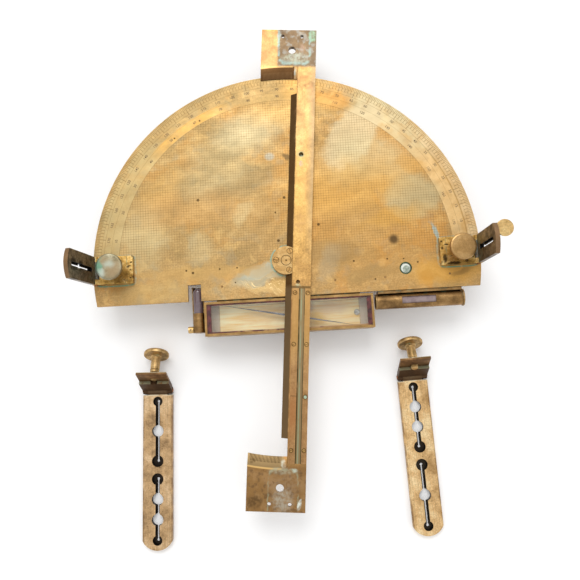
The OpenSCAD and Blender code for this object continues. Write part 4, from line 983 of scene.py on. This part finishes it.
def numerals(name, words, colour, body):
    """Small engraved figures as one flat piece: each word with its height in mm and its matrix."""
    bm = bmesh.new()
    for text, height, place in words:
        letters = bpy.data.curves.new(name, "FONT")
        letters.body = text
        letters.size = height * mm * FONT_SHARE
        letters.align_x = letters.align_y = "CENTER"
        letters.offset = 0.02 * mm
        carrier = bpy.data.objects.new(name, letters)
        mesh = bpy.data.meshes.new_from_object(carrier)
        mesh.transform(place)
        bm.from_mesh(mesh)
        bpy.data.objects.remove(carrier)
        bpy.data.meshes.remove(mesh)
    show(bm, name, colour, body, slot_name="engraved_brass")


# Brown wax in the figures, matt
plain("engraver_brown", "engravers_wax", "#5f4a2c", Roughness=0.6)
# Pieces with another material than that of their slot
OWN_MATERIAL = {"guide_strips": "strip_brass", "flange_screws": "screw_brass", "guide_screws": "screw_brass",
                "eye_ring": "eye_brass", "lifter_screw": "grey_steel", "eye_glass": "lens_glass"}
# How much the edges are rounded in mm, where it isn't the usual arris
EDGES = {"eye_glass": 0.5, "compass_glass": 0, "sealing_strips": 0, "compass_card": 0}
USUAL_EDGE = 0.15
# Length of the threads of the thumb screws in mm
END_THREAD = 10
SIGHT_THREAD = 6
for node in nodes:
    if node in SCREWS:
        thumb_screw(node, END_THREAD if "_end_" in node else SIGHT_THREAD)
    else:
        own = node if node in materials else OWN_MATERIAL.get(node)
        eased(node, EDGES.get(node, USUAL_EDGE), own)

# Figures of the limb: every 5 degrees outside, and every 10 degrees counted back inside; radius and
# height in mm
OUTER_FIGURES = (139.3, 2.1)
INNER_FIGURES = (133.4, 2.0)
FIGURE_Z = FACE_Z + 0.02
figures = []
for degrees in range(5, 180, 5):
    rows = [(*OUTER_FIGURES, degrees)]
    if degrees % 10 == 0:
        rows.append((*INNER_FIGURES, 180 - degrees))
    for radius, height, value in rows:
        a = math.radians(degrees)
        place = Matrix.Translation(Vector((radius * math.cos(a), radius * math.sin(a), FIGURE_Z)) * mm)
        figures.append((str(value), height, place @ Matrix.Rotation(a - math.pi / 2, 4, "Z")))
numerals("limb_figures", figures, "engraver_brown", "root")


# Table, light and camera
# Where the camera has the face's pivot, along its own axes in mm, and its turns in degrees
PIVOT_SEEN = (-2.887, 22.41, -479.685)
CAMERA_TURNS = ((3.309, "Z"), (-0.55, "Y"), (-6.752, "X"))
# Its focal length and the photograph's width in pixels, and the width of a full sensor in mm
FOCAL_PIXELS = 620
PHOTO_PIXELS = 580
SENSOR = 36
# The lamp's place in metres, above and behind the instrument
LAMP_PLACE = (-0.15, 0.95, 1.6)


def table_top():
    """A plain white floor that fades into the white ground far from the instrument."""
    bm = bmesh.new()
    bmesh.ops.create_grid(bm, x_segments=1, y_segments=1, size=4)
    mesh = bpy.data.meshes.new("table_top")
    bm.to_mesh(mesh)
    bm.free()
    table = bpy.data.objects.new("table_top", mesh)
    bpy.context.scene.collection.objects.link(table)
    tree = plain("table_paper", "white_paper", "#ffffff", Roughness=0.9, Specular_IOR_Level=0)
    place = add(tree, "TexCoord").outputs["Object"]
    far = add(tree, "VectorMath", {0: place}, operation="LENGTH").outputs["Value"]
    far = add(tree, "MapRange", {0: far, 1: 0.5, 2: 1.1}, interpolation_type="SMOOTHSTEP")
    blend(tree, far, add(tree, "Emission", {"Color": "#ffffff", "Strength": 1.0}))
    mesh.materials.append(materials["table_paper"])


def studio_light():
    """An even white room, a little brighter where it is seen than where it lights, and one soft lamp."""
    world = bpy.data.worlds.new("studio")
    bpy.context.scene.world = world
    world.use_nodes = True
    tree = world.node_tree
    ray = add(tree, "LightPath").outputs
    seen = add(tree, "Math", {0: ray["Is Camera Ray"], 1: ray["Is Transmission Ray"]}, operation="MAXIMUM")
    seen = add(tree, "Math", {0: seen, 1: ray["Is Glossy Ray"]}, operation="MAXIMUM")
    strength = add(tree, "MapRange", {0: seen, 3: 0.9, 4: 1.0})
    strength = add(tree, "Mix", {0: ray["Is Glossy Ray"], 2: strength, 3: 0.9}).outputs[0]
    shine = tree.nodes["Background"]
    shine.inputs["Color"].default_value = linear("#ffffff")
    tree.links.new(strength, shine.inputs["Strength"])
    lamp = bpy.data.lights.new("soft_box", "AREA")
    lamp.shape = "DISK"
    lamp.size = 1.0
    lamp.energy = 11.5
    box = bpy.data.objects.new("soft_box", lamp)
    box.location = LAMP_PLACE
    box.rotation_euler = (-Vector(LAMP_PLACE)).to_track_quat("-Z", "Y").to_euler()
    bpy.context.scene.collection.objects.link(box)


def photo_camera():
    """The camera, where the perspective of the plate, the knobs and the sights puts it."""
    eye = bpy.data.cameras.new("camera")
    eye.lens = FOCAL_PIXELS / PHOTO_PIXELS * SENSOR
    eye.sensor_width = SENSOR
    eye.clip_start = 0.01
    camera = bpy.data.objects.new("camera", eye)
    view = Matrix.Identity(3)
    for degrees, axis in CAMERA_TURNS:
        view = view @ Matrix.Rotation(math.radians(degrees), 3, axis)
    back = view.transposed()
    spot = Vector((0, 0, FACE_Z)) - back @ Vector(PIVOT_SEEN)
    camera.matrix_world = Matrix.Translation(spot * mm) @ back.to_4x4()
    bpy.context.scene.collection.objects.link(camera)
    bpy.context.scene.camera = camera
    bpy.context.scene.view_settings.view_transform = "Standard"


table_top()
studio_light()
photo_camera()
